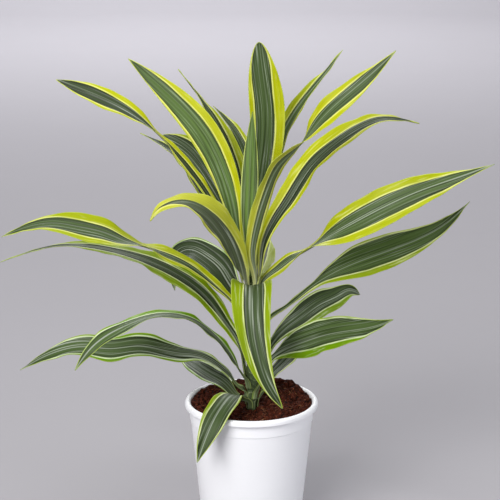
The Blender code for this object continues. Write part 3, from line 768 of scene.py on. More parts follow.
def leaf_stripes_group(name):
    """Stripes of a blade from the place on it: band, cream lines, margins and pale edges."""
    shares = ["Along", "Underside", "Seed", "Narrowing", "Midrib"]
    margins = ["First Foot", "First Tip", "Second Foot", "Second Tip"]
    colours = ["Band Foot", "Band Tip", "Streak", "Margin Foot", "Margin Tip", "Cream", "Edge", "Foot"]
    outputs = {"Color": "NodeSocketColor", "Gloss": "NodeSocketFloat", "Height": "NodeSocketFloat"}
    tree, given, made = new_group(name, shares + margins, ["Place"], colours, outputs)
    x, run, half = add_parts(tree, given["Place"])
    reach = add_math(tree, "ABSOLUTE", x)
    second = add_math(tree, "GREATER_THAN", x, 0.0)
    lane = add_math(tree, "MULTIPLY_ADD", second, LANE_STEP, given["Seed"])
    past = distance_past_band(tree, given, second, lane, (x, run, half))
    fine = lengthwise_noise(tree, x, run, given["Seed"], *STREAK_SPOTS)

    band_colour = streaked_band(tree, given, fine, lane, past, x, run)
    margin_colour = bleached_margin(tree, given, fine, lane, x, run)
    colour = add_blend(tree, add_fade(tree, past, *BAND_END), margin_colour, band_colour)

    line = add_math(
        tree, "MULTIPLY", add_step(tree, past, *CREAM_START), add_fade(tree, past, *CREAM_END)
    )
    patches = lengthwise_noise(tree, lane, run, given["Seed"], *CREAM_SPOTS)
    patches = add_step(tree, patches, *CREAM_STEP)
    colour = add_tint(tree, colour, given["Cream"], line, add_level(tree, patches, *CREAM_STRENGTHS))
    edge = add_fade(tree, add_math(tree, "SUBTRACT", half, reach), *EDGE_END)
    colour = add_tint(tree, colour, given["Edge"], edge, EDGE_STRENGTH)
    colour = add_tint(tree, colour, given["Streak"], add_fade(tree, reach, *RIB_END), given["Midrib"])
    colour = add_tint(tree, colour, given["Foot"], add_fade(tree, run, *FOOT_END), FOOT_STRENGTH)
    colour = add_tint(tree, colour, given["Foot"], given["Underside"], UNDERSIDE_PALING)
    tree.links.new(colour, made["Color"])
    dulling = add_math(tree, "MULTIPLY", fine, STREAK_DULLING)
    dulling = add_math(tree, "MULTIPLY_ADD", given["Underside"], UNDERSIDE_DULLING, dulling)
    tree.links.new(dulling, made["Gloss"])
    tree.links.new(fine, made["Height"])
    return tree


def mottle_group(name):
    """Two colours mottled by a fine and a coarse noise, with the height for a bump."""
    outputs = {"Color": "NodeSocketColor", "Share": "NodeSocketFloat", "Height": "NodeSocketFloat"}
    tree, given, made = new_group(name, ["Spread"], ["Place"], ["First", "Second"], outputs)
    fine = add_noise(tree, given["Place"], *MOTTLE_FINE)
    coarse = add_noise(tree, given["Place"], *MOTTLE_COARSE)
    coarse = add_math(tree, "MULTIPLY", coarse, 1.0 - MOTTLE_FINE_SHARE)
    mixed = add_math(tree, "MULTIPLY_ADD", fine, MOTTLE_FINE_SHARE, coarse)
    low = add_math(tree, "MULTIPLY_ADD", given["Spread"], -0.5, 0.5)
    high = add_math(tree, "MULTIPLY_ADD", given["Spread"], 0.5, 0.5)
    share = add_step(tree, mixed, low, high)
    tree.links.new(add_blend(tree, share, given["First"], given["Second"]), made["Color"])
    tree.links.new(share, made["Share"])
    tree.links.new(mixed, made["Height"])
    return tree


def add_mottle(tree, place, spread, first, second):
    values = {"Place": place, "Spread": spread, "First": first, "Second": second}
    return use_group(tree, "Mottle", mottle_group, values)


def new_material(name):
    material = bpy.data.materials.new(name)
    material.use_nodes = True
    return material.node_tree, material.node_tree.nodes["Principled BSDF"], material


def mixed_colour(share, first, second):
    return tuple(a + (b - a) * share for a, b in zip(first, second))


def leaf_material(name, look, seed, settings):
    """The waxy face of one leaf, striped after its look."""
    tree, shader, material = new_material(name)
    blade = tree.nodes.new("ShaderNodeUVMap")
    blade.uv_map = "blade"
    green, light = look["green"], look["light"]
    values = {
        "Place": mesh_value(tree, "place", "Vector"),
        "Along": add_parts(tree, blade.outputs["UV"])["Y"],
        "Underside": mesh_value(tree, "underside", "Fac"),
        "Seed": seed,
        "First Foot": look["first"][0],
        "First Tip": look["first"][1],
        "Second Foot": look["second"][0],
        "Second Tip": look["second"][1],
        "Narrowing": look["narrowing"],
        "Midrib": look["rib"],
        "Band Foot": mixed_colour(light[0], settings.dark, settings.pale),
        "Band Tip": mixed_colour(light[1], settings.dark, settings.pale),
        "Streak": mixed_colour(STREAK_FADE_ON_PALE * light[0], settings.streak, settings.pale),
        "Margin Foot": mixed_colour(green[0], settings.yellow, settings.green),
        "Margin Tip": mixed_colour(green[1], settings.yellow, settings.green),
        "Cream": mixed_colour(green[0], settings.cream, settings.white),
        "Edge": mixed_colour(green[1] / 2, settings.edge, settings.green),
        "Foot": mixed_colour(min(FOOT_AGE * green[0], 1.0), settings.young_foot, settings.foot),
    }
    stripes = use_group(tree, "Leaf stripes", leaf_stripes_group, values)
    tree.links.new(stripes["Color"], shader.inputs["Base Color"])
    roughness = add_math(tree, "ADD", stripes["Gloss"], settings.roughness)
    tree.links.new(roughness, shader.inputs["Roughness"])
    shader.inputs["Specular IOR Level"].default_value = settings.gloss
    add_bump(tree, shader, stripes["Height"], *BLADE_BUMP)
    return material


def plastic_material(settings):
    """White satin plastic, very slightly uneven."""
    tree, shader, material = new_material("pot_satin_plastic")
    white = tuple(settings.plastic)
    shade = mixed_colour(PLASTIC_SHADE_SHARE, white, PLASTIC_SHADE)
    place = add_scaled(tree, object_place(tree), PLASTIC_SPOTS)
    mottle = add_mottle(tree, place, PLASTIC_SPREAD, shade, white)
    tree.links.new(mottle["Color"], shader.inputs["Base Color"])
    roughness = add_math(tree, "MULTIPLY_ADD", mottle["Share"], PLASTIC_DULLING, settings.roughness)
    tree.links.new(roughness, shader.inputs["Roughness"])
    add_bump(tree, shader, mottle["Height"], *PLASTIC_BUMP)
    return material


def peat_material(name, first, second, third):
    """Peat in three colours, from the darkest in the low places of its bump to dry crumbs."""
    tree, shader, material = new_material(name)
    place = object_place(tree)
    mottle = add_mottle(tree, add_scaled(tree, place, PEAT_SPOTS), PEAT_SPREAD, first, second)
    dry = add_step(tree, add_noise(tree, place, *PEAT_DRY), *PEAT_DRY_STEP)
    colour = add_tint(tree, mottle["Color"], third, dry, PEAT_DRY_STRENGTH)
    tree.links.new(colour, shader.inputs["Base Color"])
    tree.links.new(add_level(tree, dry, *PEAT_ROUGHNESS), shader.inputs["Roughness"])
    shader.inputs["Specular IOR Level"].default_value = PEAT_GLOSS
    add_bump(tree, shader, mottle["Height"], *PEAT_BUMP)
    return material


def cane_material(settings):
    """Green sheaths, lined along the stem and pale at their edges."""
    tree, shader, material = new_material("stem_cane")
    parts = add_parts(tree, object_place(tree))
    lined = add_vector(tree, *[add_math(tree, "MULTIPLY", *pair) for pair in zip(parts, SHEATH_LINES)])
    shade = mixed_colour(SHEATH_SHADE_SHARE, settings.green, BLACK)
    mottle = add_mottle(tree, lined, SHEATH_SPREAD, shade, tuple(settings.green))
    edge = add_step(tree, mesh_value(tree, "sheath", "Fac"), *SHEATH_EDGE_STEP)
    colour = add_tint(tree, mottle["Color"], tuple(settings.edge), edge, SHEATH_EDGE_STRENGTH)
    tree.links.new(colour, shader.inputs["Base Color"])
    shader.inputs["Roughness"].default_value = SHEATH_ROUGHNESS
    add_bump(tree, shader, mottle["Height"], *SHEATH_BUMP)
    return material


def paper_material(settings):
    """Plain pale paper for the floor and backdrop."""
    tree, shader, material = new_material("stage_paper")
    paper = tuple(settings.floor)
    shade = mixed_colour(PAPER_SHADE_SHARE, paper, BLACK)
    mottle = add_mottle(tree, object_place(tree), PAPER_SPREAD, shade, paper)
    tree.links.new(mottle["Color"], shader.inputs["Base Color"])
    shader.inputs["Roughness"].default_value = PAPER_ROUGHNESS
    return material


def add_piece(name, mesh, material, slot, *replaced):
    """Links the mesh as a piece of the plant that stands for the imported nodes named."""
    piece = bpy.data.objects.new(name, mesh)
    mesh.materials.append(material)
    bpy.context.scene.collection.objects.link(piece)
    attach(piece, BODY)
    if replaced:
        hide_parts(*replaced)
    return piece


def turned_mesh(name, profile, steps):
    """The profile of (radius, height) points turned about Z, shaded smooth."""
    mesh = bpy.data.meshes.new(name + "_profile")
    points = [(radius * MM, 0.0, height * MM) for radius, height in profile]
    mesh.from_pydata(points, [(i, i + 1) for i in range(len(points) - 1)], [])
    guide = bpy.data.objects.new(name + "_profile", mesh)
    bpy.context.scene.collection.objects.link(guide)
    screw = guide.modifiers.new("Screw", "SCREW")
    screw.steps = steps
    screw.render_steps = steps
    screw.use_merge_vertices = True
    screw.merge_threshold = MERGE_METRES
    graph = bpy.context.evaluated_depsgraph_get()
    turned = bpy.data.meshes.new_from_object(guide.evaluated_get(graph))
    turned.name = name
    bpy.data.objects.remove(guide, do_unlink=True)
    bpy.data.meshes.remove(mesh)
    turned.shade_smooth()
    turned.set_sharp_from_angle(angle=math.radians(SHARP_ANGLE))
    return turned


def rounded(profile, steps=5):
    """The profile with each (radius, height, fillet) corner made an arc of its fillet's radius."""
    points = []
    for i, (radius, height, fillet) in enumerate(profile):
        here = np.array([radius, height])
        if fillet == 0.0:
            points.append((radius, height))
            continue
        back = unit(np.array(profile[i - 1][:2]) - here)
        onward = unit(np.array(profile[i + 1][:2]) - here)
        half_angle = math.acos(float(np.clip(back @ onward, -1.0, 1.0))) / 2
        cut = fillet / math.tan(half_angle)
        middle = here + unit(back + onward) * fillet / math.sin(half_angle)
        start = here + back * cut - middle
        end = here + onward * cut - middle
        turn = math.atan2(start[0] * end[1] - start[1] * end[0], start @ end)
        for share in np.linspace(0.0, 1.0, steps):
            c, s = math.cos(turn * share), math.sin(turn * share)
            points.append((middle[0] + c * start[0] - s * start[1], middle[1] + s * start[0] + c * start[1]))
    return points


def wall_radius(height):
    """Outer radius of the pot's tapered wall."""
    top = COLLAR_RADIUS - COLLAR_STEP
    return POT_BASE_RADIUS + (top - POT_BASE_RADIUS) * height / COLLAR_BOTTOM


def inner_radius(height):
    """Inner radius of the pot, which flares to its mouth under the rolled rim."""
    if height <= COLLAR_BOTTOM:
        return wall_radius(height) - POT_WALL
    share = (height - COLLAR_BOTTOM) / (RIM_MIDDLE - COLLAR_BOTTOM)
    low = wall_radius(COLLAR_BOTTOM) - POT_WALL
    return low + (POT_MOUTH_RADIUS - low) * min(share, 1.0)


def pot_profile():
    """Radius and height from the middle of the floor, over the rolled rim and down to the foot."""
    inside = [
        (0.0, POT_FLOOR, 0.0),
        (inner_radius(POT_FLOOR), POT_FLOOR, FLOOR_ROUND),
        (inner_radius(COLLAR_BOTTOM), COLLAR_BOTTOM, FLARE_ROUND),
        (POT_MOUTH_RADIUS, RIM_MIDDLE, 0.0),
    ]
    middle = POT_MOUTH_RADIUS + RIM_ROLL
    roll = [
        (middle - RIM_ROLL * math.cos(a), RIM_MIDDLE + RIM_ROLL * math.sin(a), 0.0)
        for a in np.radians(ROLL_ANGLES)
    ]
    outside = [
        (POT_RIM_RADIUS, RIM_SKIRT, SKIRT_ROUND),
        (COLLAR_RADIUS + COLLAR_TAPER, RIM_SKIRT, SKIRT_ROOT_ROUND),
        (COLLAR_RADIUS, COLLAR_BOTTOM, COLLAR_ROUND),
        (wall_radius(COLLAR_BOTTOM), COLLAR_BOTTOM, STEP_ROUND),
        (wall_radius(0.0), 0.0, FOOT_ROUND),
        (0.0, 0.0, 0.0),
    ]
    return rounded(inside + roll + outside)


def stem_radius(height):
    if height <= STEM_TAPER_FROM:
        return STEM_RADIUS
    share = (height - STEM_TAPER_FROM) / (STEM_TOP - STEM_TAPER_FROM)
    return STEM_RADIUS + (STEM_TIP_RADIUS - STEM_RADIUS) * share


def stem_profile():
    """Radius and height down the smooth stem, in rows that can be pressed into sheaths."""
    tip = [(0.0, STEM_TOP), (STEM_TIP_RADIUS - STEM_EDGE, STEM_TOP)]
    heights = np.arange(STEM_TOP - STEM_EDGE, STEM_BOTTOM, -STEM_ROW)
    side = [(stem_radius(height), height) for height in heights]
    return tip + side + [(STEM_RADIUS - STEM_EDGE, STEM_BOTTOM), (0.0, STEM_BOTTOM)]


def sheath_share(x, y, height, step):
    """How far up its sheath a place on the stem lies. Each sheath's edge slants to its own side."""
    azimuth = math.atan2(y, x)
    slant = SHEATH_SLANT * math.sin(azimuth + height / SHEATH_TWIST)
    return (height / step + slant) % 1.0


def stem_mesh(settings):
    """The stem pressed in under each sheath's edge, which keeps its share of each sheath."""
    mesh = turned_mesh("stem_cane", stem_profile(), STEM_FACES)
    shares = []
    for vertex in mesh.vertices:
        x, y, height = vertex.co / MM
        share = sheath_share(x, y, height, settings.sheath / MM)
        shares.append(share)
        reach = math.hypot(x, y)
        if reach > STEM_TIP_RADIUS - STEM_EDGE and STEM_BOTTOM < height < STEM_TOP:
            pressed = 1.0 - settings.relief / MM * (1.0 - share**3) / reach
            vertex.co = Vector((x * pressed, y * pressed, height)) * MM
    mesh.attributes.new("sheath", "FLOAT", "POINT").data.foreach_set("value", shares)
    return mesh


def soil_profile(rings):
    """Radius and height from the floor of the stem's hole, over the surface and down the side."""
    hole = stem_radius(SOIL_TOP) + GAP
    edge = inner_radius(SOIL_TOP) - GAP
    top = [(hole + (edge - hole) * i / rings, SOIL_TOP) for i in range(rings + 1)]
    bottom = POT_FLOOR + GAP
    side = [
        (inner_radius(COLLAR_BOTTOM) - GAP, COLLAR_BOTTOM),
        (inner_radius(bottom + FLOOR_ROUND) - GAP, bottom + FLOOR_ROUND),
        (inner_radius(bottom) - FLOOR_ROUND - GAP, bottom),
        (0.0, bottom),
    ]
    return [(0.0, STEM_HOLE_BOTTOM), (hole, STEM_HOLE_BOTTOM)] + top + side


def soil_height(x, y):
    """Lift of the crumbly surface over its level at the stem."""
    reach = math.hypot(x, y)
    bowl = SOIL_BOWL * (reach / inner_radius(SOIL_TOP)) ** 2
    from_heap = math.hypot(x - SOIL_HEAP_PLACE[0], y - SOIL_HEAP_PLACE[1])
    heap = SOIL_HEAP * math.exp(-((from_heap / SOIL_HEAP_SPREAD) ** 2))
    crumbs = SOIL_LUMP * noise.noise(Vector((x, y, 0.0)) / SOIL_LUMP_SIZE)
    return bowl + SOIL_SLOPE * y + heap + crumbs * min(reach / SOIL_LEVEL_ROUND_STEM, 1.0) ** 2


def fine_soil_height(x, y):
    """The soil's lift with its small forms, which settle at the stem."""
    lift = 0.0
    for height, size, layer in (SMALL_FORM, TINY_FORM):
        lift += height * noise.noise(Vector((x, y, layer)) / size)
    clear = ease(np.array((math.hypot(x, y) - STEM_RADIUS) / SOIL_LEVEL_ROUND_STEM))
    return soil_height(x, y) + lift * (FORMS_AT_STEM + (1.0 - FORMS_AT_STEM) * float(clear))


def soil_mesh(settings):
    """The filling of the pot with its crumbly surface."""
    mesh = turned_mesh("soil_peat", soil_profile(settings.rings), settings.steps)
    for vertex in mesh.vertices:
        x, y, height = [value / MM for value in vertex.co]
        if height < SOIL_TOP - GAP:
            continue
        height += fine_soil_height(x, y)
        flare = inner_radius(height) / inner_radius(SOIL_TOP)
        vertex.co = Vector((x * flare, y * flare, height)) * MM
    return mesh


def ease(share):
    """A smooth step from 0 to 1."""
    share = np.clip(share, 0.0, 1.0)
    return share * share * (3 - 2 * share)


def smooth_rows(rows, count):
    """Even steps along the smooth curve through the rows, whose first three values are a place."""
    rows = np.array(rows, float)
    steps = np.linalg.norm(np.diff(rows[:, :3], axis=0), axis=1)
    chord = np.concatenate([[0.0], np.cumsum(steps)])
    last = len(rows) - 1
    system = np.eye(last + 1)
    pull = np.zeros_like(rows)
    for i in range(1, last):
        system[i, i - 1 : i + 2] = steps[i - 1], 2 * (steps[i - 1] + steps[i]), steps[i]
        pull[i] = 6 * ((rows[i + 1] - rows[i]) / steps[i] - (rows[i] - rows[i - 1]) / steps[i - 1])
    bend = np.linalg.solve(system, pull)
    at = np.linspace(0.0, chord[-1], SAMPLES_A_SPAN * last)
    i = np.clip(np.searchsorted(chord, at, side="right") - 1, 0, last - 1)
    a = ((chord[i + 1] - at) / steps[i])[:, None]
    b = 1.0 - a
    curve = a * rows[i] + b * rows[i + 1]
    curve += ((a**3 - a) * bend[i] + (b**3 - b) * bend[i + 1]) * (steps[i] ** 2)[:, None] / 6
    run = np.linalg.norm(np.diff(curve[:, :3], axis=0), axis=1)
    run = np.concatenate([[0.0], np.cumsum(run)])
    even = np.linspace(0.0, run[-1], count)
    return np.stack([np.interp(even, run, column) for column in curve.T], axis=1), even


def unit(vectors):
    return vectors / np.linalg.norm(vectors, axis=-1, keepdims=True)


def square_to(vector, along):
    """The part of the vector that is square to each direction, at unit length."""
    return unit(vector - np.sum(vector * along, axis=1, keepdims=True) * along)


def turned_about(along, face, angles):
    """Each face direction turned by its angle about the direction that the midrib runs in."""
    angles = angles[:, None]
    return face * np.cos(angles) + np.cross(along, face) * np.sin(angles)


def half_width(leaf, foot, share):
    """Half the blade's width at each share of its length, from its width at the foot."""
    full = leaf["width"] / 2
    rise = np.clip((share - leaf["neck"]) / (leaf["widest"] - leaf["neck"]), 0.0, 1.0)
    rise = np.sin(np.pi / 2 * rise) ** SHOULDER_POWER
    past = np.clip((share - leaf["widest"]) / (1.0 - leaf["widest"]), 0.0, 1.0)
    fall = np.cos(np.pi / 2 * past) ** leaf["slim"]
    return np.where(
        share < leaf["widest"],
        foot + (full - foot) * rise,
        TIP_HALF_WIDTH + (full - TIP_HALF_WIDTH) * fall,
    )


def leaf_surface(leaf, settings, seed):
    """The blade's two faces as grids of places, with each point's x, run and half width."""
    azimuth = math.radians(leaf["foot"][0])
    height = leaf["foot"][1]
    out = np.array([math.cos(azimuth), math.sin(azimuth), 0.0])
    reach = stem_radius(height) + GAP + SOLID_BLADE / 2
    foot = out * reach + height * UP
    collar = foot + out * FOOT_LEAN + FOOT_RISE * UP
    first_turn = leaf["route"][0][3]
    rows = [(*foot, first_turn), (*collar, first_turn)] + leaf["route"]
    rows, run = smooth_rows(rows, settings.stations)
    share = run / run[-1]
    middle = rows[:, :3]
    along = unit(np.gradient(middle, axis=0))

    face = square_to(leaf.get("facing", FRONT), along)
    face = turned_about(along, face, np.radians(rows[:, 3]))
    inward = square_to(-out, along)
    side = np.cross(along, face)
    clasp = np.arctan2(np.sum(inward * side, axis=1), np.sum(inward * face, axis=1))
    hold = 1.0 - ease((run - FOOT_RISE) / CLASP_LENGTH)
    face = turned_about(along, face, clasp * hold)
    side = np.cross(along, face)

    half = half_width(leaf, FOOT_WRAP * reach, share)
    gutter = math.radians(leaf["gutter"])
    curl = ((gutter + (FOOT_WRAP - gutter) * hold) / half)[:, None]
    across = np.linspace(-1.0, 1.0, settings.across + 1)[None, :]
    x = across * half[:, None]
    count, lift, phase, lag = leaf["waves"]
    swell = np.sin(np.pi * np.clip((share - WAVES_FROM) / WAVES_SPAN, 0.0, 1.0)) ** WAVES_SWELL_POWER
    start = np.radians(phase + lag * (across > 0))
    wave = np.sin(2 * np.pi * count * share[:, None] + start) * np.abs(across) ** WAVES_EDGE_POWER
    rise = (1 - np.cos(curl * x)) / curl + lift * swell[:, None] * wave
    rise = rise + blade_relief(run, across, x, seed, settings)
    reach_across = np.sin(curl * x) / curl
    sheet = middle[:, None] + side[:, None] * reach_across[..., None] + face[:, None] * rise[..., None]

    normal = unit(np.cross(np.gradient(sheet, axis=1), np.gradient(sheet, axis=0)))
    skin = settings.thickness / MM * (1 - EDGE_THINNING * across**2) / 2
    rib = settings.midrib / MM * np.exp(-((x / RIB_WIDTH) ** 2)) * (1 - share[:, None]) ** RIB_FADE_POWER
    upper = sheet + normal * skin[..., None]
    lower = sheet - normal * (skin + rib)[..., None]
    place = np.stack(np.broadcast_arrays(x, run[:, None], half[:, None]), axis=2)
    return upper, lower, place, share


def blade_relief(run, across, x, seed, settings):
    """Pleats along the blade, the crease at its midrib and small ripples at its margins."""
    ripples = np.array(
        [[noise.noise(Vector((at / RIPPLE_LENGTH, lane, seed))) for lane in RIPPLE_LANES] for at in run]
    )
    ripple = np.where(across < 0, ripples[:, :1], ripples[:, 1:])
    ripple = ripple * np.abs(across) ** 3 * settings.ripple / MM
    sway = PLEAT_SWAY * np.sin(run[:, None] / PLEAT_SWAY_LENGTH + seed)
    pleat = np.sin(2 * np.pi * (x / PLEAT_WIDTH + sway)) * (1 - across**4) * settings.pleat / MM
    crease = -CREASE_DEPTH * np.exp(-((x / CREASE_WIDTH) ** 2))
    return ripple + pleat + crease


def leaf_mesh(name, leaf, seed, settings):
    """A thin closed blade: its upper and lower face and the strip round their edge."""
    upper, lower, place, share = leaf_surface(leaf, settings, seed)
    rows, columns = upper.shape[:2]
    count = rows * columns
    top = np.arange(count).reshape(rows, columns)
    under = top + count
    quads = [
        np.stack([top[:-1, :-1], top[:-1, 1:], top[1:, 1:], top[1:, :-1]], axis=2).reshape(-1, 4),
        np.stack([under[:-1, :-1], under[1:, :-1], under[1:, 1:], under[:-1, 1:]], axis=2).reshape(-1, 4),
        np.stack([top[:-1, 0], top[1:, 0], under[1:, 0], under[:-1, 0]], axis=1),
        np.stack([top[:-1, -1], under[:-1, -1], under[1:, -1], top[1:, -1]], axis=1),
        np.stack([top[0, :-1], under[0, :-1], under[0, 1:], top[0, 1:]], axis=1),
        np.stack([top[-1, :-1], top[-1, 1:], under[-1, 1:], under[-1, :-1]], axis=1),
    ]
    points = np.concatenate([upper.reshape(-1, 3), lower.reshape(-1, 3)]) * MM
    mesh = bpy.data.meshes.new(name)
    mesh.from_pydata(points.tolist(), [], np.concatenate(quads).tolist())
    mesh.shade_smooth()

    places = np.tile(place.reshape(-1, 3), (2, 1))
    mesh.attributes.new("place", "FLOAT_VECTOR", "POINT").data.foreach_set("vector", places.ravel())
    sides = np.repeat([0.0, 1.0], count)
    mesh.attributes.new("underside", "FLOAT", "POINT").data.foreach_set("value", sides)
    corners = np.empty(len(mesh.loops), int)
    mesh.loops.foreach_get("vertex_index", corners)
    across_share = places[:, 0] / places[:, 2] / 2 + 0.5
    along_share = np.tile(np.repeat(share, columns), 2)
    flat = np.stack([across_share, along_share], axis=1)
    mesh.uv_layers.new(name="blade").data.foreach_set("uv", flat[corners].ravel())
    return mesh


def lump(random, size):
    """A small uneven crumb as points and triangles round its middle."""
    shape = bmesh.new()
    bmesh.ops.create_icosphere(shape, subdivisions=2, radius=1.0)
    offset = Vector(random.uniform(-CRUMB_NOISE_REACH, CRUMB_NOISE_REACH, 3))
    squash = random.uniform(*CRUMB_SQUASH, 3)
    points = []
    for vertex in shape.verts:
        swell = 1.0 + CRUMB_SWELL * noise.noise(vertex.co * CRUMB_SWELL_SCALE + offset)
        points.append(np.array(vertex.co) * swell * squash * size)
    faces = [[vertex.index for vertex in face.verts] for face in shape.faces]
    shape.free()
    return np.array(points), faces


def soil_place(random, reach_limit):
    """A random place on the soil's surface, in millimetres."""
    hole = stem_radius(SOIL_TOP) + CRUMB_STEM_ROOM
    share = random.uniform(0.0, 1.0)
    reach = math.sqrt(hole**2 + (reach_limit**2 - hole**2) * share)
    azimuth = random.uniform(0.0, 2 * math.pi)
    return reach * math.cos(azimuth), reach * math.sin(azimuth)


def fibre(random, x, y):
    """A thin bent fibre lying on the soil, as points and faces."""
    length = random.uniform(*FIBRE_LENGTHS)
    thick = random.uniform(*FIBRE_RADII)
    heading = random.uniform(0.0, 2 * math.pi)
    bend = random.uniform(-FIBRE_BEND, FIBRE_BEND)
    limit = inner_radius(SOIL_TOP) - FIBRE_WALL_ROOM
    points = []
    for share in np.linspace(0.0, 1.0, FIBRE_STEPS):
        angle = heading + bend * share
        x += math.cos(angle) * length / FIBRE_STEPS
        y += math.sin(angle) * length / FIBRE_STEPS
        reach = math.hypot(x, y)
        if reach > limit:
            x, y = x * limit / reach, y * limit / reach
        arch = FIBRE_LIFT + FIBRE_ARCH * math.sin(math.pi * share)
        middle = np.array([x, y, SOIL_TOP + fine_soil_height(x, y) + arch])
        across = np.array([-math.sin(angle), math.cos(angle), 0.0])
        radius = thick * (1.0 - FIBRE_TAPER * share)
        for side in range(FIBRE_SIDES):
            turn = 2 * math.pi * side / FIBRE_SIDES
            points.append(middle + radius * (across * math.cos(turn) + UP * math.sin(turn)))
    faces = []
    for start in range(0, (FIBRE_STEPS - 1) * FIBRE_SIDES, FIBRE_SIDES):
        for side in range(FIBRE_SIDES):
            a, b = start + side, start + (side + 1) % FIBRE_SIDES
            faces.append([a, b, b + FIBRE_SIDES, a + FIBRE_SIDES])
    faces.append(list(range(FIBRE_SIDES))[::-1])
    faces.append([(FIBRE_STEPS - 1) * FIBRE_SIDES + side for side in range(FIBRE_SIDES)])
    return np.array(points), faces


def loose_crumbs(random, count):
    """Crumbs strewn over the soil, as points and faces."""
    smallest, largest = CRUMB_SIZES
    crumbs = []
    for _ in range(count):
        size = smallest + (largest - smallest) * random.power(CRUMB_SIZE_POWER)
        x, y = soil_place(random, inner_radius(SOIL_TOP) - size)
        points, faces = lump(random, size)
        seat = SOIL_TOP + fine_soil_height(x, y) + size * CRUMB_STANDS_OUT
        crumbs.append((points + [x, y, seat], faces))
    return crumbs


def loose_fibres(random, count):
    """Fibres strewn over the soil, as points and faces."""
    limit = inner_radius(SOIL_TOP) - FIBRE_PLACE_ROOM
    return [fibre(random, *soil_place(random, limit)) for _ in range(count)]


def joined_mesh(name, shapes):
    """One mesh from many (points, faces) shapes given in millimetres."""
    points, faces, start = [], [], 0
    for shape_points, shape_faces in shapes:
        points.append(shape_points * MM)
        faces.extend([[start + i for i in face] for face in shape_faces])
        start += len(shape_points)
    mesh = bpy.data.meshes.new(name)
    mesh.from_pydata(np.concatenate(points).tolist(), [], faces)
    mesh.shade_smooth()
    return mesh


class OBJECT_OT_dracaena_leaves(bpy.types.Operator):
    """Make the striped leaves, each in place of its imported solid"""

    bl_idname = "object.dracaena_leaves"
    bl_label = "Leaves"

    def execute(self, context):
        settings = context.scene.dracaena_leaves
        for order, (name, leaf) in enumerate(LEAVES.items()):
            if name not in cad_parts:
                raise RuntimeError("the packed model has no leaf named " + name)
            material = leaf_material(name + "_stripes", LOOKS[name], order * MARKING_SEED_STEP, settings)
            mesh = leaf_mesh(name + "_blade", leaf, order * SHAPE_SEED_STEP, settings)
            add_piece(name + "_blade", mesh, material, "leaf", name)
        return {"FINISHED"}


class OBJECT_OT_dracaena_stem(bpy.types.Operator):
    """Make the stem in its leaf sheaths"""

    bl_idname = "object.dracaena_stem"
    bl_label = "Stem"

    def execute(self, context):
        settings = context.scene.dracaena_stem
        add_piece("stem_cane", stem_mesh(settings), cane_material(settings), "stem", "stem")
        return {"FINISHED"}


class OBJECT_OT_dracaena_soil(bpy.types.Operator):
    """Make the soil with its loose crumbs and fibres"""

    bl_idname = "object.dracaena_soil"
    bl_label = "Soil"

    def execute(self, context):
        settings = context.scene.dracaena_soil
        random = np.random.default_rng(settings.seed)
        dark, middle, light = tuple(settings.dark), tuple(settings.middle), tuple(settings.light)
        peat = peat_material("soil_peat", dark, middle, light)
        add_piece("soil_peat", soil_mesh(settings), peat, "potting_soil", "soil")

        crumbs = joined_mesh("soil_crumbs", loose_crumbs(random, settings.crumbs))
        loose = peat_material("soil_crumbs", mixed_colour(CRUMB_DARKNESS, dark, middle), middle, light)
        add_piece("soil_crumbs", crumbs, loose, "potting_soil")

        fibres = joined_mesh("soil_fibres", loose_fibres(random, settings.fibres))
        tan = tuple(settings.fibre)
        pale = mixed_colour(FIBRE_PALE_SHARE, tan, FIBRE_PALE)
        add_piece("soil_fibres", fibres, peat_material("soil_fibres", middle, tan, pale), "potting_soil")
        return {"FINISHED"}


class OBJECT_OT_dracaena_pot(bpy.types.Operator):
    """Make the nursery pot with its rolled rim"""

    bl_idname = "object.dracaena_pot"
    bl_label = "Pot"

    def execute(self, context):
        settings = context.scene.dracaena_pot
        mesh = turned_mesh("pot_shell", pot_profile(), settings.steps)
        add_piece("pot_shell", mesh, plastic_material(settings), "pot_plastic", "pot")
        return {"FINISHED"}


def add_camera(settings):
    lens = bpy.data.cameras.new("Camera")
    lens.lens = settings.lens
    lens.clip_start = CAMERA_CLIP
    camera = bpy.data.objects.new("Camera", lens)
    camera.location = settings.eye
    camera.rotation_euler = (math.pi / 2 - settings.pitch, 0.0, 0.0)
    bpy.context.scene.collection.objects.link(camera)
    bpy.context.scene.camera = camera


def add_sweep(settings):
    """A pale floor that bends up into the backdrop all round."""
    bend = [
        (SWEEP_FLOOR_RADIUS + SWEEP_BEND * math.sin(a), SWEEP_BEND - SWEEP_BEND * math.cos(a))
        for a in np.radians(SWEEP_ANGLES)
    ]
    top = (SWEEP_FLOOR_RADIUS + SWEEP_BEND, SWEEP_HEIGHT)
    sweep = turned_mesh("stage_sweep", [top] + bend[::-1] + [(0.0, 0.0)], SWEEP_FACES)
    sweep.flip_normals()
    sweep.materials.append(paper_material(settings))
    floor = bpy.data.objects.new("stage_sweep", sweep)
    bpy.context.scene.collection.objects.link(floor)


def add_light(name, power, place, target, size, colour):
    """A square soft light that looks at its target and is itself out of sight."""
    light = bpy.data.lights.new(name, "AREA")
    light.shape = "SQUARE"
    light.size = size
    light.energy = power
    light.color = colour
    lamp = bpy.data.objects.new(name, light)
    lamp.location = place
    lamp.rotation_euler = (Vector(target) - lamp.location).to_track_quat("-Z", "Y").to_euler()
    lamp.visible_camera = False
    bpy.context.scene.collection.objects.link(lamp)


def add_room(settings):
    """Even light from all round."""
    world = bpy.data.worlds.new("Room")
    world.use_nodes = True
    background = world.node_tree.nodes["Background"]
    background.inputs["Color"].default_value = ROOM_COLOUR
    background.inputs["Strength"].default_value = settings.surround
    bpy.context.scene.world = world


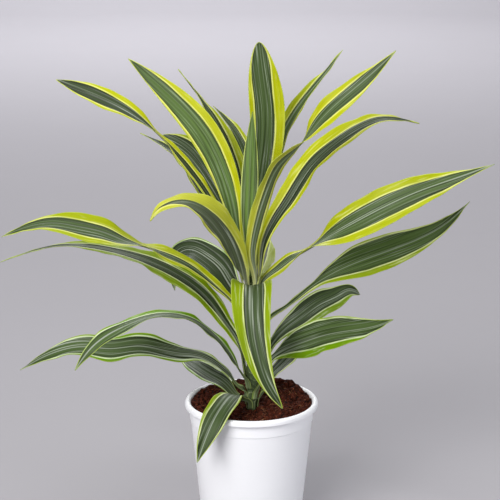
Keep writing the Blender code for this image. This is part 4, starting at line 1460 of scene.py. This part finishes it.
class SCENE_OT_dracaena_stage(bpy.types.Operator):
    """Make the camera, the pale floor and backdrop, and the soft lights"""

    bl_idname = "scene.dracaena_stage"
    bl_label = "Stage"

    def execute(self, context):
        settings = context.scene.dracaena_stage
        add_camera(settings)
        add_sweep(settings)
        for name, light in LIGHTS.items():
            add_light(name + "_light", getattr(settings, name), **light)
        add_room(settings)
        context.scene.view_settings.view_transform = "Standard"
        return {"FINISHED"}


class VIEW3D_PT_dracaena(bpy.types.Panel):
    """Steps that make the plant and its stage"""

    bl_label = "Lemon lime dracaena"
    bl_space_type = "VIEW_3D"
    bl_region_type = "UI"
    bl_category = "Dracaena"

    def draw(self, context):
        for settings, operator in STEPS:
            box = self.layout.box()
            box.operator(operator.bl_idname)
            group = getattr(context.scene, settings)
            for key in group.bl_rna.properties.keys():
                if key not in {"rna_type", "name"}:
                    box.prop(group, key)


STEPS = (
    ("dracaena_leaves", OBJECT_OT_dracaena_leaves),
    ("dracaena_stem", OBJECT_OT_dracaena_stem),
    ("dracaena_soil", OBJECT_OT_dracaena_soil),
    ("dracaena_pot", OBJECT_OT_dracaena_pot),
    ("dracaena_stage", SCENE_OT_dracaena_stage),
)
SETTINGS = (DracaenaLeaves, DracaenaStem, DracaenaSoil, DracaenaPot, DracaenaStage)


def register():
    for group, (name, operator) in zip(SETTINGS, STEPS):
        bpy.utils.register_class(group)
        bpy.utils.register_class(operator)
        setattr(bpy.types.Scene, name, PointerProperty(type=group))
    bpy.utils.register_class(VIEW3D_PT_dracaena)


def unregister():
    bpy.utils.unregister_class(VIEW3D_PT_dracaena)
    for group, (name, operator) in zip(SETTINGS, STEPS):
        delattr(bpy.types.Scene, name)
        bpy.utils.unregister_class(operator)
        bpy.utils.unregister_class(group)


def main():
    register()
    bpy.ops.object.dracaena_leaves()
    bpy.ops.object.dracaena_stem()
    bpy.ops.object.dracaena_soil()
    bpy.ops.object.dracaena_pot()
    bpy.ops.scene.dracaena_stage()


if __name__ == "__main__":
    main()
